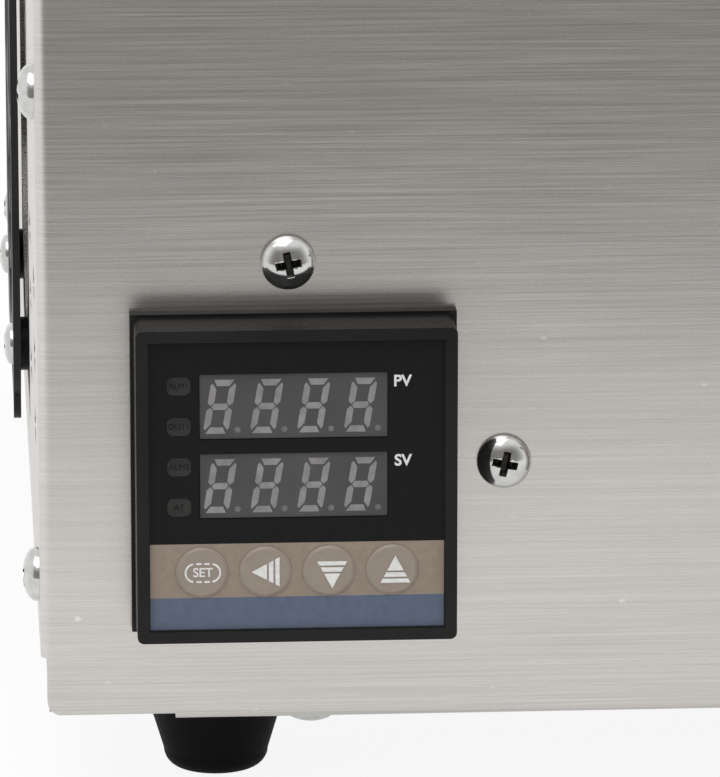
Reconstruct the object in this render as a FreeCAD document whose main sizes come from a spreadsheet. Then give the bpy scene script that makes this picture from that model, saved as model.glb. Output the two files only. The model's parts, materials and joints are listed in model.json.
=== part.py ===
import FreeCAD, Part
import math
import os
import Sketcher

# Benchtop drawer reflow oven, in millimetres. Casing frame: x to the right from the casing's left side,
# y to the back from the front panel, z up from the front panel's lower edge. place() moves that frame so
# that the whole oven stands with the middle of its footprint on the origin.
doc = FreeCAD.newDocument("reflow_oven")
sheet = doc.addObject("Spreadsheet::Sheet", "sizes")
nodes = []


class Size:
    """A length: the formula that the document evaluates, and its value in millimetres."""

    def __init__(self, formula, value):
        self.formula = formula
        self.value = value

    def __add__(self, other):
        other = as_size(other)
        return Size(f"({self.formula} + {other.formula})", self.value + other.value)

    def __sub__(self, other):
        other = as_size(other)
        return Size(f"({self.formula} - {other.formula})", self.value - other.value)

    def __mul__(self, other):
        other = as_size(other)
        return Size(f"({self.formula} * {other.formula})", self.value * other.value)

    def __truediv__(self, other):
        other = as_size(other)
        return Size(f"({self.formula} / {other.formula})", self.value / other.value)

    def __neg__(self):
        return Size(f"(0 - {self.formula})", -self.value)

    def __radd__(self, other):
        return as_size(other) + self

    def __rsub__(self, other):
        return as_size(other) - self

    def __rmul__(self, other):
        return as_size(other) * self


def as_size(value):
    """Give a plain number the same form as a size."""
    if isinstance(value, Size):
        return value
    return Size(f"({value})", value)


def size(name, value):
    """Write one driving dimension into the sheet and return it."""
    row = size.rows = getattr(size, "rows", 0) + 1
    sheet.set(f"A{row}", name)
    sheet.set(f"B{row}", str(value))
    sheet.setAlias(f"B{row}", name)
    return Size(f"sizes.{name}", value)


# Casing of folded brushed stainless sheet
casing_width = size("casing_width", 310)
casing_depth = size("casing_depth", 290)
casing_height = size("casing_height", 115)
sheet_gauge = size("sheet_gauge", 1.2)
bend_radius = size("bend_radius", 2)
side_rise = size("side_rise", 9.9)
relief_inset = size("relief_inset", 0.9)
edge_rise = size("edge_rise", 1.2)
corner_radius = size("corner_radius", 2.1)
lip_inset = size("lip_inset", 20)
lip_depth = size("lip_depth", 14.8)
flange_height = size("flange_height", 24)
side_screw_rise = size("side_screw_rise", 21)
side_screw_setback = size("side_screw_setback", 7.5)
lip_screw_inset = size("lip_screw_inset", 40.5)
lip_screw_setback = size("lip_screw_setback", 8.5)
back_screw_inset = size("back_screw_inset", 14)

# Pan-head screws
screw_radius = size("screw_radius", 1.95)
screw_hole_radius = size("screw_hole_radius", 2.15)
screw_length = size("screw_length", 7)
head_radius = size("head_radius", 4.05)
head_height = size("head_height", 2.5)
head_rounding = size("head_rounding", 1.7)
recess_length = size("recess_length", 4.3)
recess_width = size("recess_width", 0.95)
recess_depth = size("recess_depth", 1.5)

# Rubber feet
foot_height = size("foot_height", 15.9)
foot_top_radius = size("foot_top_radius", 12)
foot_base_radius = size("foot_base_radius", 8)
foot_edge_radius = size("foot_edge_radius", 2.8)
foot_inset = size("foot_inset", 27)
foot_well_radius = size("foot_well_radius", 4.3)
foot_well_depth = size("foot_well_depth", 8)

# Temperature controller, a 48 mm panel instrument
controller_x = size("controller_x", 37.5)
controller_z = size("controller_z", 38.4)
flange_width = size("flange_width", 48)
flange_gauge = size("flange_gauge", 2)
hood_width = size("hood_width", 46.9)
hood_reach = size("hood_reach", 11)
housing_width = size("housing_width", 44.6)
housing_depth = size("housing_depth", 76)
housing_wall = size("housing_wall", 1.5)
cutout_clearance = size("cutout_clearance", 0.3)
fascia_width = size("fascia_width", 43.3)
fascia_gauge = size("fascia_gauge", 1.2)
fascia_recess = size("fascia_recess", 0.8)
fascia_clearance = size("fascia_clearance", 0.1)
window_width = size("window_width", 27.6)
window_height = size("window_height", 9.8)
window_shift = size("window_shift", 0.45)
measured_rise = size("measured_rise", 11.9)
window_clearance = size("window_clearance", 0.1)
window_recess = size("window_recess", 0.3)
lamp_offset = size("lamp_offset", 17.2)
lamp_rise = size("lamp_rise", 15.1)
lamp_pitch = size("lamp_pitch", 6.05)
lamp_width = size("lamp_width", 3.2)
lamp_height = size("lamp_height", 2.35)
key_pitch = size("key_pitch", 9.3)
key_drop = size("key_drop", 12.9)
key_radius = size("key_radius", 3.6)
key_clearance = size("key_clearance", 0.3)
key_proud = size("key_proud", 0.5)
key_rim_width = size("key_rim_width", 0.45)
key_rim_gauge = size("key_rim_gauge", 0.6)
key_travel = size("key_travel", 0.6)
key_stop_gap = size("key_stop_gap", 0.3)
switch_width = size("switch_width", 6)
board_gauge = size("board_gauge", 1.6)
board_setback = size("board_setback", 7)
terminal_width = size("terminal_width", 36)
terminal_depth = size("terminal_depth", 9)
clamp_width = size("clamp_width", 49)
clamp_depth = size("clamp_depth", 8)

# Screen between the controller bay and the heat, held by the two front screws
screen_screw_rise = size("screen_screw_rise", 31.2)
screen_screw_reach = size("screen_screw_reach", 31.2)
screen_screw_shift = size("screen_screw_shift", 0.7)
screen_tab_width = size("screen_tab_width", 13)
screen_margin = size("screen_margin", 6)
screen_depth = size("screen_depth", 92)

# Cooling fan, its guard and the vent slots of the left side
fan_width = size("fan_width", 80)
fan_depth = size("fan_depth", 25)
fan_bore_radius = size("fan_bore_radius", 38)
fan_hole_spacing = size("fan_hole_spacing", 71.5)
fan_hub_radius = size("fan_hub_radius", 18)
fan_tip_gap = size("fan_tip_gap", 1.2)
fan_rise = size("fan_rise", 69)
fan_setback = size("fan_setback", 145)
fan_motor_depth = size("fan_motor_depth", 5)
fan_strut_width = size("fan_strut_width", 4)
shaft_radius = size("shaft_radius", 1.5)
shaft_clearance = size("shaft_clearance", 0.05)
rotor_gap = size("rotor_gap", 0.3)
blade_gauge = size("blade_gauge", 1.4)
blade_margin = size("blade_margin", 1.2)
guard_width = size("guard_width", 91)
guard_corner_radius = size("guard_corner_radius", 13)
guard_depth = size("guard_depth", 2.6)
guard_bar_gauge = size("guard_bar_gauge", 1.2)
guard_bar_width = size("guard_bar_width", 3)
guard_boss_radius = size("guard_boss_radius", 4.4)
guard_tab_width = size("guard_tab_width", 7)
guard_tab_length = size("guard_tab_length", 12.5)
guard_head_height = size("guard_head_height", 1.5)
guard_head_radius = size("guard_head_radius", 3.4)
guard_head_rounding = size("guard_head_rounding", 1.2)
slot_length = size("slot_length", 12)
slot_height = size("slot_height", 4.5)
slot_row_rise = size("slot_row_rise", 38)
slot_row_pitch = size("slot_row_pitch", 11)
slot_setback = size("slot_setback", 32)
slot_pitch = size("slot_pitch", 42)

# Heating chamber
opening_margin = size("opening_margin", 14)
opening_width = size("opening_width", 168)
opening_floor = size("opening_floor", 15)
opening_height = size("opening_height", 85)
liner_margin = size("liner_margin", 1)
liner_gauge = size("liner_gauge", 1)
liner_depth = size("liner_depth", 252)
blanket_gauge = size("blanket_gauge", 9)
heater_radius = size("heater_radius", 5)
heater_drop = size("heater_drop", 12)
heater_setback = size("heater_setback", 48)
heater_pitch = size("heater_pitch", 48)
end_cap_radius = size("end_cap_radius", 7)
end_cap_length = size("end_cap_length", 9)
probe_radius = size("probe_radius", 1.5)
probe_clearance = size("probe_clearance", 0.2)
probe_reach = size("probe_reach", 46)
probe_rise = size("probe_rise", 62)
probe_setback = size("probe_setback", 122)
gland_radius = size("gland_radius", 5)
gland_length = size("gland_length", 8)

# Drawer
front_overlap = size("front_overlap", 7)
front_skin_depth = size("front_skin_depth", 15)
gasket_gauge = size("gasket_gauge", 2.6)
gasket_gap = size("gasket_gap", 0.4)
gasket_width = size("gasket_width", 5)
drawer_edge_radius = size("drawer_edge_radius", 3)
glass_width = size("glass_width", 122)
glass_height = size("glass_height", 42)
glass_rise = size("glass_rise", 36)
glass_overlap = size("glass_overlap", 6)
glass_gauge = size("glass_gauge", 3)
handle_length = size("handle_length", 118)
handle_radius = size("handle_radius", 6)
handle_post_radius = size("handle_post_radius", 4.5)
handle_post_length = size("handle_post_length", 27)
handle_post_inset = size("handle_post_inset", 12)
handle_drop = size("handle_drop", 15)
tray_floor = size("tray_floor", 28)
tray_wall_height = size("tray_wall_height", 18)
tray_gauge = size("tray_gauge", 1.2)
tray_depth = size("tray_depth", 208)
tray_slot_length = size("tray_slot_length", 110)
tray_slot_width = size("tray_slot_width", 8)
runner_width = size("runner_width", 4)
runner_height = size("runner_height", 10)
runner_rise = size("runner_rise", 2)
rail_gap = size("rail_gap", 0.3)
rail_gauge = size("rail_gauge", 1.5)
rail_width = size("rail_width", 9)

# Exhaust fan behind the chamber
exhaust_width = size("exhaust_width", 60)
exhaust_depth = size("exhaust_depth", 15)
exhaust_bore_radius = size("exhaust_bore_radius", 28)
exhaust_hole_spacing = size("exhaust_hole_spacing", 50)
exhaust_hub_radius = size("exhaust_hub_radius", 14)
exhaust_motor_depth = size("exhaust_motor_depth", 4)
duct_radius = size("duct_radius", 24)
duct_gauge = size("duct_gauge", 1)
grille_slot_width = size("grille_slot_width", 4)
grille_slot_pitch = size("grille_slot_pitch", 8)

# Mains and power control in the left bay
inlet_x = size("inlet_x", 34)
inlet_z = size("inlet_z", 38)
inlet_width = size("inlet_width", 28)
inlet_height = size("inlet_height", 20)
inlet_depth = size("inlet_depth", 22)
inlet_flange_width = size("inlet_flange_width", 50)
inlet_flange_height = size("inlet_flange_height", 23)
inlet_flange_gauge = size("inlet_flange_gauge", 2.5)
inlet_mouth_width = size("inlet_mouth_width", 24.4)
inlet_mouth_height = size("inlet_mouth_height", 16.4)
inlet_mouth_depth = size("inlet_mouth_depth", 17)
pin_width = size("pin_width", 2)
pin_height = size("pin_height", 4)
pin_length = size("pin_length", 11)
pin_spacing = size("pin_spacing", 7)
pin_stagger = size("pin_stagger", 2)
inlet_screw_spacing = size("inlet_screw_spacing", 40)
switch_x = size("switch_x", 80)
switch_flange_width = size("switch_flange_width", 21)
switch_flange_height = size("switch_flange_height", 15)
switch_flange_gauge = size("switch_flange_gauge", 2)
switch_body_width = size("switch_body_width", 18.6)
switch_body_height = size("switch_body_height", 12.6)
switch_body_depth = size("switch_body_depth", 16)
rocker_clearance = size("rocker_clearance", 0.4)
rocker_wall = size("rocker_wall", 1.6)
rocker_radius = size("rocker_radius", 11)
rocker_proud = size("rocker_proud", 2.6)
rocker_swing = size("rocker_swing", 1.2)
pivot_radius = size("pivot_radius", 1.2)
pivot_clearance = size("pivot_clearance", 0.05)
fuse_x = size("fuse_x", 72)
fuse_z = size("fuse_z", 66)
fuse_body_radius = size("fuse_body_radius", 6)
fuse_body_length = size("fuse_body_length", 30)
fuse_cap_radius = size("fuse_cap_radius", 7.5)
fuse_cap_length = size("fuse_cap_length", 8)
fuse_slot_depth = size("fuse_slot_depth", 2)
sink_width = size("sink_width", 60)
sink_length = size("sink_length", 66)
sink_height = size("sink_height", 24)
sink_base = size("sink_base", 6)
fin_gap = size("fin_gap", 4)
relay_width = size("relay_width", 44)
relay_length = size("relay_length", 58)
relay_height = size("relay_height", 22)
relay_x = size("relay_x", 12)
relay_y = size("relay_y", 198)
strip_x = size("strip_x", 60)
strip_y = size("strip_y", 112)
strip_width = size("strip_width", 20)
strip_length = size("strip_length", 64)
strip_height = size("strip_height", 15)
strip_way_pitch = size("strip_way_pitch", 10)
strip_well_length = size("strip_well_length", 7)
doc.recompute()

# The casing's lower left front corner in the oven's frame
drawer_face = gasket_gap + gasket_gauge + front_skin_depth
front_reach = drawer_face + handle_post_length + handle_radius
left_reach = guard_depth + guard_head_height
casing_left = (left_reach - head_height - casing_width) / 2
casing_front = (front_reach - fuse_cap_length - casing_depth) / 2
casing_floor = foot_height - sheet_gauge
opening_left = casing_width - opening_margin - opening_width

FULL_TURN = 360
AXIS_TURN = {
    "x": FreeCAD.Rotation(FreeCAD.Vector(0, 1, 0), 90),
    "y": FreeCAD.Rotation(FreeCAD.Vector(1, 0, 0), -90),
    "z": FreeCAD.Rotation(),
    "-x": FreeCAD.Rotation(FreeCAD.Vector(0, 1, 0), -90),
    "-y": FreeCAD.Rotation(FreeCAD.Vector(1, 0, 0), 90),
    "-z": FreeCAD.Rotation(FreeCAD.Vector(1, 0, 0), 180),
}


def move(piece, x, y, z, turn=FreeCAD.Rotation()):
    """Bind a piece's position to formulas, in whatever frame the piece is drawn in."""
    piece.Placement = FreeCAD.Placement(FreeCAD.Vector(0, 0, 0), turn)
    for axis, length in zip("xyz", (x, y, z)):
        piece.setExpression(f".Placement.Base.{axis}", as_size(length).formula)
    return piece


def place(piece, x, y, z, turn=FreeCAD.Rotation()):
    """Put a piece at a point of the casing frame."""
    return move(piece, casing_left + x, casing_front + y, casing_floor + z, turn)


def primitive(kind, name, lengths):
    """Add one primitive solid with each of its lengths bound to a formula."""
    piece = doc.addObject(kind, name)
    for prop, length in lengths.items():
        piece.setExpression(prop, as_size(length).formula)
    return piece


def bar(name, lengths, x, y, z):
    """A rectangular block with its lowest corner at a point of the casing frame."""
    block = primitive("Part::Box", name, dict(zip(("Length", "Width", "Height"), lengths)))
    return place(block, x, y, z)


def span(name, low, high):
    """A rectangular block between two corners of the casing frame."""
    return bar(name, [as_size(b) - a for a, b in zip(low, high)], *low)


def rod(name, radius, length, x, y, z, axis):
    """A cylinder that runs from a point of the casing frame along an axis."""
    cylinder = primitive("Part::Cylinder", name, {"Radius": radius, "Height": length})
    return place(cylinder, x, y, z, AXIS_TURN[axis])


def join(name, pieces):
    """One solid from several that meet."""
    fused = doc.addObject("Part::MultiFuse", name)
    fused.Shapes = pieces
    fused.Refine = True
    return fused


def cut(name, base, tools):
    """A piece with openings cut in it."""
    result = doc.addObject("Part::Cut", name)
    result.Base = base
    result.Tool = tools[0] if len(tools) == 1 else join(name + "_openings", tools)
    result.Refine = True
    return result


def group(name, pieces):
    """Separate like solids kept together."""
    compound = doc.addObject("Part::Compound", name)
    compound.Links = pieces
    return compound


def node(piece, label):
    """Name a finished sub-part."""
    piece.Label = label
    nodes.append(piece)
    return piece


def origin_plane(body, role):
    """Find one of a body's own origin planes."""
    return next(plane for plane in body.Origin.OriginFeatures if plane.Role == role)


def draw_outline(sketch, path):
    """Draw a closed outline. A corner is (u, v), or (u, v, cu, cv) where an arc about (cu, cv) follows."""
    ends = []
    for index, corner in enumerate(path):
        following = path[(index + 1) % len(path)]
        start = FreeCAD.Vector(as_size(corner[0]).value, as_size(corner[1]).value, 0)
        stop = FreeCAD.Vector(as_size(following[0]).value, as_size(following[1]).value, 0)
        if len(corner) == 2:
            edge = sketch.addGeometry(Part.LineSegment(start, stop))
            ends.append((edge, 1, 2))
            continue
        centre = FreeCAD.Vector(as_size(corner[2]).value, as_size(corner[3]).value, 0)
        first, last = start - centre, stop - centre
        turns_left = first.cross(last).z > 0
        if not turns_left:
            first, last = last, first
        begin = math.atan2(first.y, first.x)
        end = math.atan2(last.y, last.x)
        if end < begin:
            end += 2 * math.pi
        circle = Part.Circle(centre, FreeCAD.Vector(0, 0, 1), first.Length)
        edge = sketch.addGeometry(Part.ArcOfCircle(circle, begin, end))
        ends.append((edge, 1, 2) if turns_left else (edge, 2, 1))
        for kind, length in (("DistanceX", corner[2]), ("DistanceY", corner[3])):
            bind(sketch, Sketcher.Constraint(kind, -1, 1, edge, 3, as_size(length).value), length)
    for index, (edge, begin, end) in enumerate(ends):
        next_edge, next_begin, _ = ends[(index + 1) % len(ends)]
        sketch.addConstraint(Sketcher.Constraint("Coincident", edge, end, next_edge, next_begin))
        is_arc = len(path[index]) == 4
        after_arc = len(path[index - 1]) == 4
        pairs = [("DistanceX", path[index][0]), ("DistanceY", path[index][1])]
        if after_arc and not is_arc:
            centre_u = as_size(path[index - 1][2]).value
            along_u = abs(as_size(path[index][0]).value - centre_u)
            along_v = abs(as_size(path[index][1]).value - as_size(path[index - 1][3]).value)
            pairs = pairs[1:] if along_v < along_u else pairs[:1]
        for kind, length in pairs:
            bind(sketch, Sketcher.Constraint(kind, -1, 1, edge, begin, as_size(length).value), length)


def bind(sketch, constraint, length):
    """Add a dimension to a sketch and tie it to a formula."""
    index = sketch.addConstraint(constraint)
    sketch.setExpression(f"Constraints[{index}]", as_size(length).formula)


def outlined_body(name, role, path):
    """A body that holds one sketch on one of its origin planes."""
    body = doc.addObject("PartDesign::Body", name)
    sketch = body.newObject("Sketcher::SketchObject", name + "_outline")
    sketch.AttachmentSupport = [(origin_plane(body, role), "")]
    sketch.MapMode = "FlatFace"
    draw_outline(sketch, path)
    return body, sketch


def padded(name, role, path, length, reverse=False):
    """A sheet or block padded from an outline."""
    body, sketch = outlined_body(name, role, path)
    pad = body.newObject("PartDesign::Pad", name + "_pad")
    pad.Profile = sketch
    pad.Reversed = reverse
    pad.setExpression("Length", as_size(length).formula)
    return body


def turned(name, path):
    """A round piece turned about its own vertical axis from half of its section."""
    body, sketch = outlined_body(name, "XZ_Plane", path)
    spin = body.newObject("PartDesign::Revolution", name + "_turn")
    spin.Profile = sketch
    spin.ReferenceAxis = (sketch, ["V_Axis"])
    spin.Angle = FULL_TURN
    return body


def rounded_rectangle(width, height, radius):
    """Outline of a rectangle about the sketch origin, with round corners."""
    u, v = width / 2, height / 2
    a, b = u - radius, v - radius
    return [
        (-a, -v), (a, -v, a, -b), (u, -b), (u, b, a, b),
        (a, v), (-a, v, -a, b), (-u, b), (-u, -b, -a, -b),
    ]


# Screws
TOP_EDGE = 3


def pan_screw(name, radius=head_radius, height=head_height, rounding=head_rounding, spin=0.0):
    """A cross-recess screw about its own z axis, with its seat at z 0 and its head above."""
    head = primitive("Part::Cylinder", name + "_blank", {"Radius": radius, "Height": height})
    crown = doc.addObject("Part::Fillet", name + "_crown")
    crown.Base = head
    crown.Edges = [(TOP_EDGE, rounding.value, rounding.value)]
    shank = primitive("Part::Cylinder", name + "_shank", {"Radius": screw_radius, "Height": screw_length})
    move(shank, 0, 0, -screw_length)
    arms = []
    for quarter in (0, 90):
        arm = primitive("Part::Box", name + "_arm", {
            "Length": recess_length, "Width": recess_width, "Height": recess_depth})
        turn = FreeCAD.Rotation(FreeCAD.Vector(0, 0, 1), quarter)
        lengthwise, sideways = (recess_length, recess_width) if quarter == 0 else (-recess_width, recess_length)
        move(arm, -lengthwise / 2, -sideways / 2, height - recess_depth, turn)
        arms.append(arm)
    screw = cut(name, join(name + "_solid", [crown, shank]), arms)
    screw.addProperty("App::PropertyFloat", "Spin")
    screw.Spin = spin
    return screw


def drive(screw, x, y, z, facing):
    """Seat a screw at a point of the casing frame, with its head facing along an axis."""
    spin = FreeCAD.Rotation(FreeCAD.Vector(0, 0, 1), screw.Spin)
    return place(screw, x, y, z, AXIS_TURN[facing].multiply(spin))


def screw_hole(name, x, y, z, axis):
    """A clearance hole for a screw, through the sheets on both sides of a point."""
    reach = screw_length
    offset = {"x": (x - reach, y, z), "y": (x, y - reach, z), "z": (x, y, z - reach)}[axis]
    return rod(name, screw_hole_radius, 2 * reach, *offset, axis)


# Where the screws sit
side_screw_places = [
    (y, z)
    for y in (side_screw_setback, casing_depth - side_screw_setback)
    for z in (side_screw_rise, casing_height - side_screw_rise)
]
lip_screw_places = [lip_screw_inset, casing_width / 2, casing_width - lip_screw_inset]
back_screw_places = [
    (x, z)
    for x in (back_screw_inset, casing_width - back_screw_inset)
    for z in (back_screw_inset, casing_height - back_screw_inset)
]
foot_places = [
    (x, y)
    for x in (foot_inset, casing_width - foot_inset)
    for y in (foot_inset, casing_depth - foot_inset)
]
screen_screw_places = [
    (controller_x - screen_screw_shift, controller_z + screen_screw_rise),
    (controller_x + screen_screw_reach, controller_z + screen_screw_shift),
]
fan_corner_places = [
    (fan_setback + step_y * fan_hole_spacing / 2, fan_rise + step_z * fan_hole_spacing / 2)
    for step_y in (-1, 1)
    for step_z in (-1, 1)
]

# Front and both sides: one sheet folded at the two front corners, with relief cuts at the lower corners
inner_bend = bend_radius - sheet_gauge
wrap_path = [
    (0, casing_depth), (0, bend_radius, bend_radius, bend_radius), (bend_radius, 0),
    (casing_width - bend_radius, 0, casing_width - bend_radius, bend_radius), (casing_width, bend_radius),
    (casing_width, casing_depth), (casing_width - sheet_gauge, casing_depth),
    (casing_width - sheet_gauge, bend_radius, casing_width - bend_radius, bend_radius),
    (casing_width - bend_radius, sheet_gauge), (bend_radius, sheet_gauge, bend_radius, bend_radius),
    (sheet_gauge, bend_radius), (sheet_gauge, casing_depth),
]
wrap_sheet = place(padded("wrap_sheet", "XY_Plane", wrap_path, casing_height), 0, 0, 0)
lip_path = [
    (0, bend_radius, bend_radius, bend_radius), (bend_radius, 0), (lip_depth, 0), (lip_depth, sheet_gauge),
    (bend_radius, sheet_gauge, bend_radius, bend_radius), (sheet_gauge, bend_radius),
]
lip = place(padded("wrap_lip", "YZ_Plane", lip_path, casing_width - 2 * lip_inset), lip_inset, 0, 0)
past = casing_depth
relief_cuts = [
    span("lip_relief", (lip_inset, -past, -past), (casing_width - lip_inset, 2 * sheet_gauge, bend_radius)),
]
for side, edge, sign in (("left", 0, 1), ("right", casing_width, -1)):
    face_left = as_size(edge) if sign > 0 else edge - relief_inset
    wall_left = as_size(edge) if sign > 0 else edge - bend_radius
    relief_cuts.append(bar(f"{side}_edge_relief", (relief_inset, past, past + side_rise), face_left, 0, -past))
    relief_cuts.append(
        bar(f"{side}_side_relief", (bend_radius, past, past + side_rise), wall_left, bend_radius, -past))
    corner_x = edge + sign * relief_inset
    block_x = corner_x if sign > 0 else corner_x - corner_radius
    block = bar(f"{side}_corner", (corner_radius, 2 * bend_radius, corner_radius), block_x, 0, edge_rise)
    rounding = rod(f"{side}_corner_round", corner_radius, 4 * bend_radius,
                   corner_x + sign * corner_radius, -bend_radius, edge_rise + corner_radius, "y")
    edge_left = as_size(edge) if sign > 0 else edge - lip_inset
    relief_cuts.append(bar(f"{side}_lower_relief", (lip_inset, 2 * bend_radius, edge_rise), edge_left, 0, 0))
    relief_cuts.append(cut(f"{side}_corner_cut", block, [rounding]))

cutout = housing_width + 2 * cutout_clearance
wrap_openings = [
    bar("controller_cutout", (cutout, past, cutout),
        controller_x - cutout / 2, -past / 2, controller_z - cutout / 2),
    bar("drawer_opening", (opening_width, past, opening_height), opening_left, -past / 2, opening_floor),
    rod("fan_opening", fan_bore_radius, 2 * bend_radius, -bend_radius, fan_setback, fan_rise, "x"),
]
for x, z in screen_screw_places:
    wrap_openings.append(screw_hole("screen_hole", x, 0, z, "y"))
for y, z in fan_corner_places:
    wrap_openings.append(screw_hole("guard_hole", 0, y, z, "x"))
for y, z in side_screw_places:
    wrap_openings.append(screw_hole("side_hole", 0, y, z, "x"))
    wrap_openings.append(screw_hole("side_hole", casing_width, y, z, "x"))
for x in lip_screw_places:
    wrap_openings.append(screw_hole("lip_hole", x, lip_screw_setback, 0, "z"))
SLOT_ROWS = 3
SLOT_COLUMNS = 2
for row in range(SLOT_ROWS):
    for column in range(SLOT_COLUMNS):
        y = slot_setback + column * slot_pitch
        z = slot_row_rise + row * slot_row_pitch
        straight = slot_length - slot_height
        pieces = [bar("slot_middle", (2 * bend_radius, straight, slot_height),
                      -bend_radius, y - straight / 2, z - slot_height / 2)]
        for step in (-1, 1):
            pieces.append(rod("slot_end", slot_height / 2, 2 * bend_radius,
                              -bend_radius, y + step * straight / 2, z, "x"))
        wrap_openings.append(join("vent_slot", pieces))
wrap_blank = cut("wrap_blank", wrap_sheet, relief_cuts)
node(cut("wrap", join("wrap_with_lip", [wrap_blank, lip]), wrap_openings), "casing_wrap")


def channel_path(width, height):
    """Section of a flat sheet with both long edges folded up, about the casing's middle."""
    half = width / 2
    return [
        (-half, 0), (half, 0), (half, height), (half - sheet_gauge, height),
        (half - sheet_gauge, sheet_gauge), (sheet_gauge - half, sheet_gauge),
        (sheet_gauge - half, height), (-half, height),
    ]


# Base pan: sits on the front lip, with flanges up inside the sides and at the back
inside_width = casing_width - 2 * sheet_gauge
inside_depth = casing_depth - sheet_gauge - bend_radius
pan_channel = padded("pan_channel", "XZ_Plane", channel_path(inside_width, flange_height), inside_depth, True)
place(pan_channel, casing_width / 2, bend_radius, sheet_gauge)
back_flange_y = casing_depth - 2 * sheet_gauge
pan_back = bar("pan_back", (inside_width, sheet_gauge, flange_height), sheet_gauge, back_flange_y, sheet_gauge)
pan_holes = []
for y, z in side_screw_places:
    pan_holes.append(screw_hole("pan_side_hole", 0, y, z, "x"))
    pan_holes.append(screw_hole("pan_side_hole", casing_width, y, z, "x"))
for x in lip_screw_places:
    pan_holes.append(screw_hole("pan_lip_hole", x, lip_screw_setback, 0, "z"))
for x, y in foot_places:
    pan_holes.append(screw_hole("pan_foot_hole", x, y, 0, "z"))
for x, z in back_screw_places:
    pan_holes.append(screw_hole("pan_back_hole", x, casing_depth, z, "y"))
node(cut("pan", join("pan_sheet", [pan_channel, pan_back]), pan_holes), "base_pan")

# Lid: lies flush between the walls, with flanges down inside them and a gap in one for the fan
lid_channel = padded("lid_channel", "XZ_Plane", channel_path(inside_width, flange_height), inside_depth, False)
place(lid_channel, casing_width / 2, bend_radius, casing_height,
      FreeCAD.Rotation(FreeCAD.Vector(1, 0, 0), 180))
lid_back = bar("lid_back", (inside_width, sheet_gauge, flange_height),
               sheet_gauge, back_flange_y, casing_height - flange_height)
fan_room = fan_width + 2 * sheet_gauge
lid_holes = [
    bar("lid_fan_gap", (2 * sheet_gauge, fan_room, flange_height),
        0, fan_setback - fan_room / 2, casing_height - sheet_gauge - flange_height),
]
for y, z in side_screw_places:
    lid_holes.append(screw_hole("lid_side_hole", 0, y, z, "x"))
    lid_holes.append(screw_hole("lid_side_hole", casing_width, y, z, "x"))
for x, z in back_screw_places:
    lid_holes.append(screw_hole("lid_back_hole", x, casing_depth, z, "y"))
node(cut("lid", join("lid_sheet", [lid_channel, lid_back]), lid_holes), "top_lid")

# Back panel: lies between the sides, against the back flanges of pan and lid
exhaust_x = opening_left + opening_width / 2
exhaust_z = opening_floor + opening_height / 2
back_sheet = span("back_sheet", (sheet_gauge, casing_depth - sheet_gauge, sheet_gauge),
                  (casing_width - sheet_gauge, casing_depth, casing_height))
back_openings = [
    bar("inlet_cutout", (inlet_width + 2 * cutout_clearance, past, inlet_height + 2 * cutout_clearance),
        inlet_x - inlet_width / 2 - cutout_clearance, back_flange_y,
        inlet_z - inlet_height / 2 - cutout_clearance),
    bar("switch_cutout",
        (switch_body_width + 2 * cutout_clearance, past, switch_body_height + 2 * cutout_clearance),
        switch_x - switch_body_width / 2 - cutout_clearance, back_flange_y,
        inlet_z - switch_body_height / 2 - cutout_clearance),
    rod("fuse_cutout", fuse_body_radius + cutout_clearance, past, fuse_x, back_flange_y, fuse_z, "y"),
]
for x, z in back_screw_places:
    back_openings.append(screw_hole("back_hole", x, casing_depth, z, "y"))
exhaust_corner_places = [
    (exhaust_x + step_x * exhaust_hole_spacing / 2, exhaust_z + step_z * exhaust_hole_spacing / 2)
    for step_x in (-1, 1)
    for step_z in (-1, 1)
]
for x, z in exhaust_corner_places:
    back_openings.append(screw_hole("exhaust_hole", x, casing_depth, z, "y"))
for step in (-1, 1):
    back_openings.append(
        screw_hole("inlet_hole", inlet_x + step * inlet_screw_spacing / 2, casing_depth, inlet_z, "y"))
GRILLE_SLOTS = (-2, -1, 0, 1, 2)
for step in GRILLE_SLOTS:
    z = exhaust_z + step * grille_slot_pitch
    half = exhaust_bore_radius - abs(step) * grille_slot_width
    pieces = [bar("grille_middle", (2 * half - grille_slot_width, past, grille_slot_width),
                  exhaust_x - half + grille_slot_width / 2, back_flange_y, z - grille_slot_width / 2)]
    for end in (-1, 1):
        pieces.append(rod("grille_end", grille_slot_width / 2, past,
                          exhaust_x + end * (half - grille_slot_width / 2), back_flange_y, z, "y"))
    back_openings.append(join("grille_slot", pieces))
node(cut("back", back_sheet, back_openings), "back_panel")

# Feet: tapered rubber, each with a well for its screw
feet = []
foot_screws = []
for x, y in foot_places:
    foot_path = [
        (screw_hole_radius, foot_well_depth), (foot_well_radius, foot_well_depth), (foot_well_radius, 0),
        (foot_base_radius - foot_edge_radius, 0, foot_base_radius - foot_edge_radius, foot_edge_radius),
        (foot_base_radius, foot_edge_radius), (foot_top_radius, foot_height), (screw_hole_radius, foot_height),
    ]
    feet.append(place(turned("foot", foot_path), x, y, sheet_gauge - foot_height))
    screw_seat = sheet_gauge - foot_height + foot_well_depth
    foot_screws.append(drive(pan_screw("foot_screw"), x, y, screw_seat, "-z"))
node(group("feet", feet), "rubber_feet")
node(group("foot_screw_set", foot_screws), "foot_screws")

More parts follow.
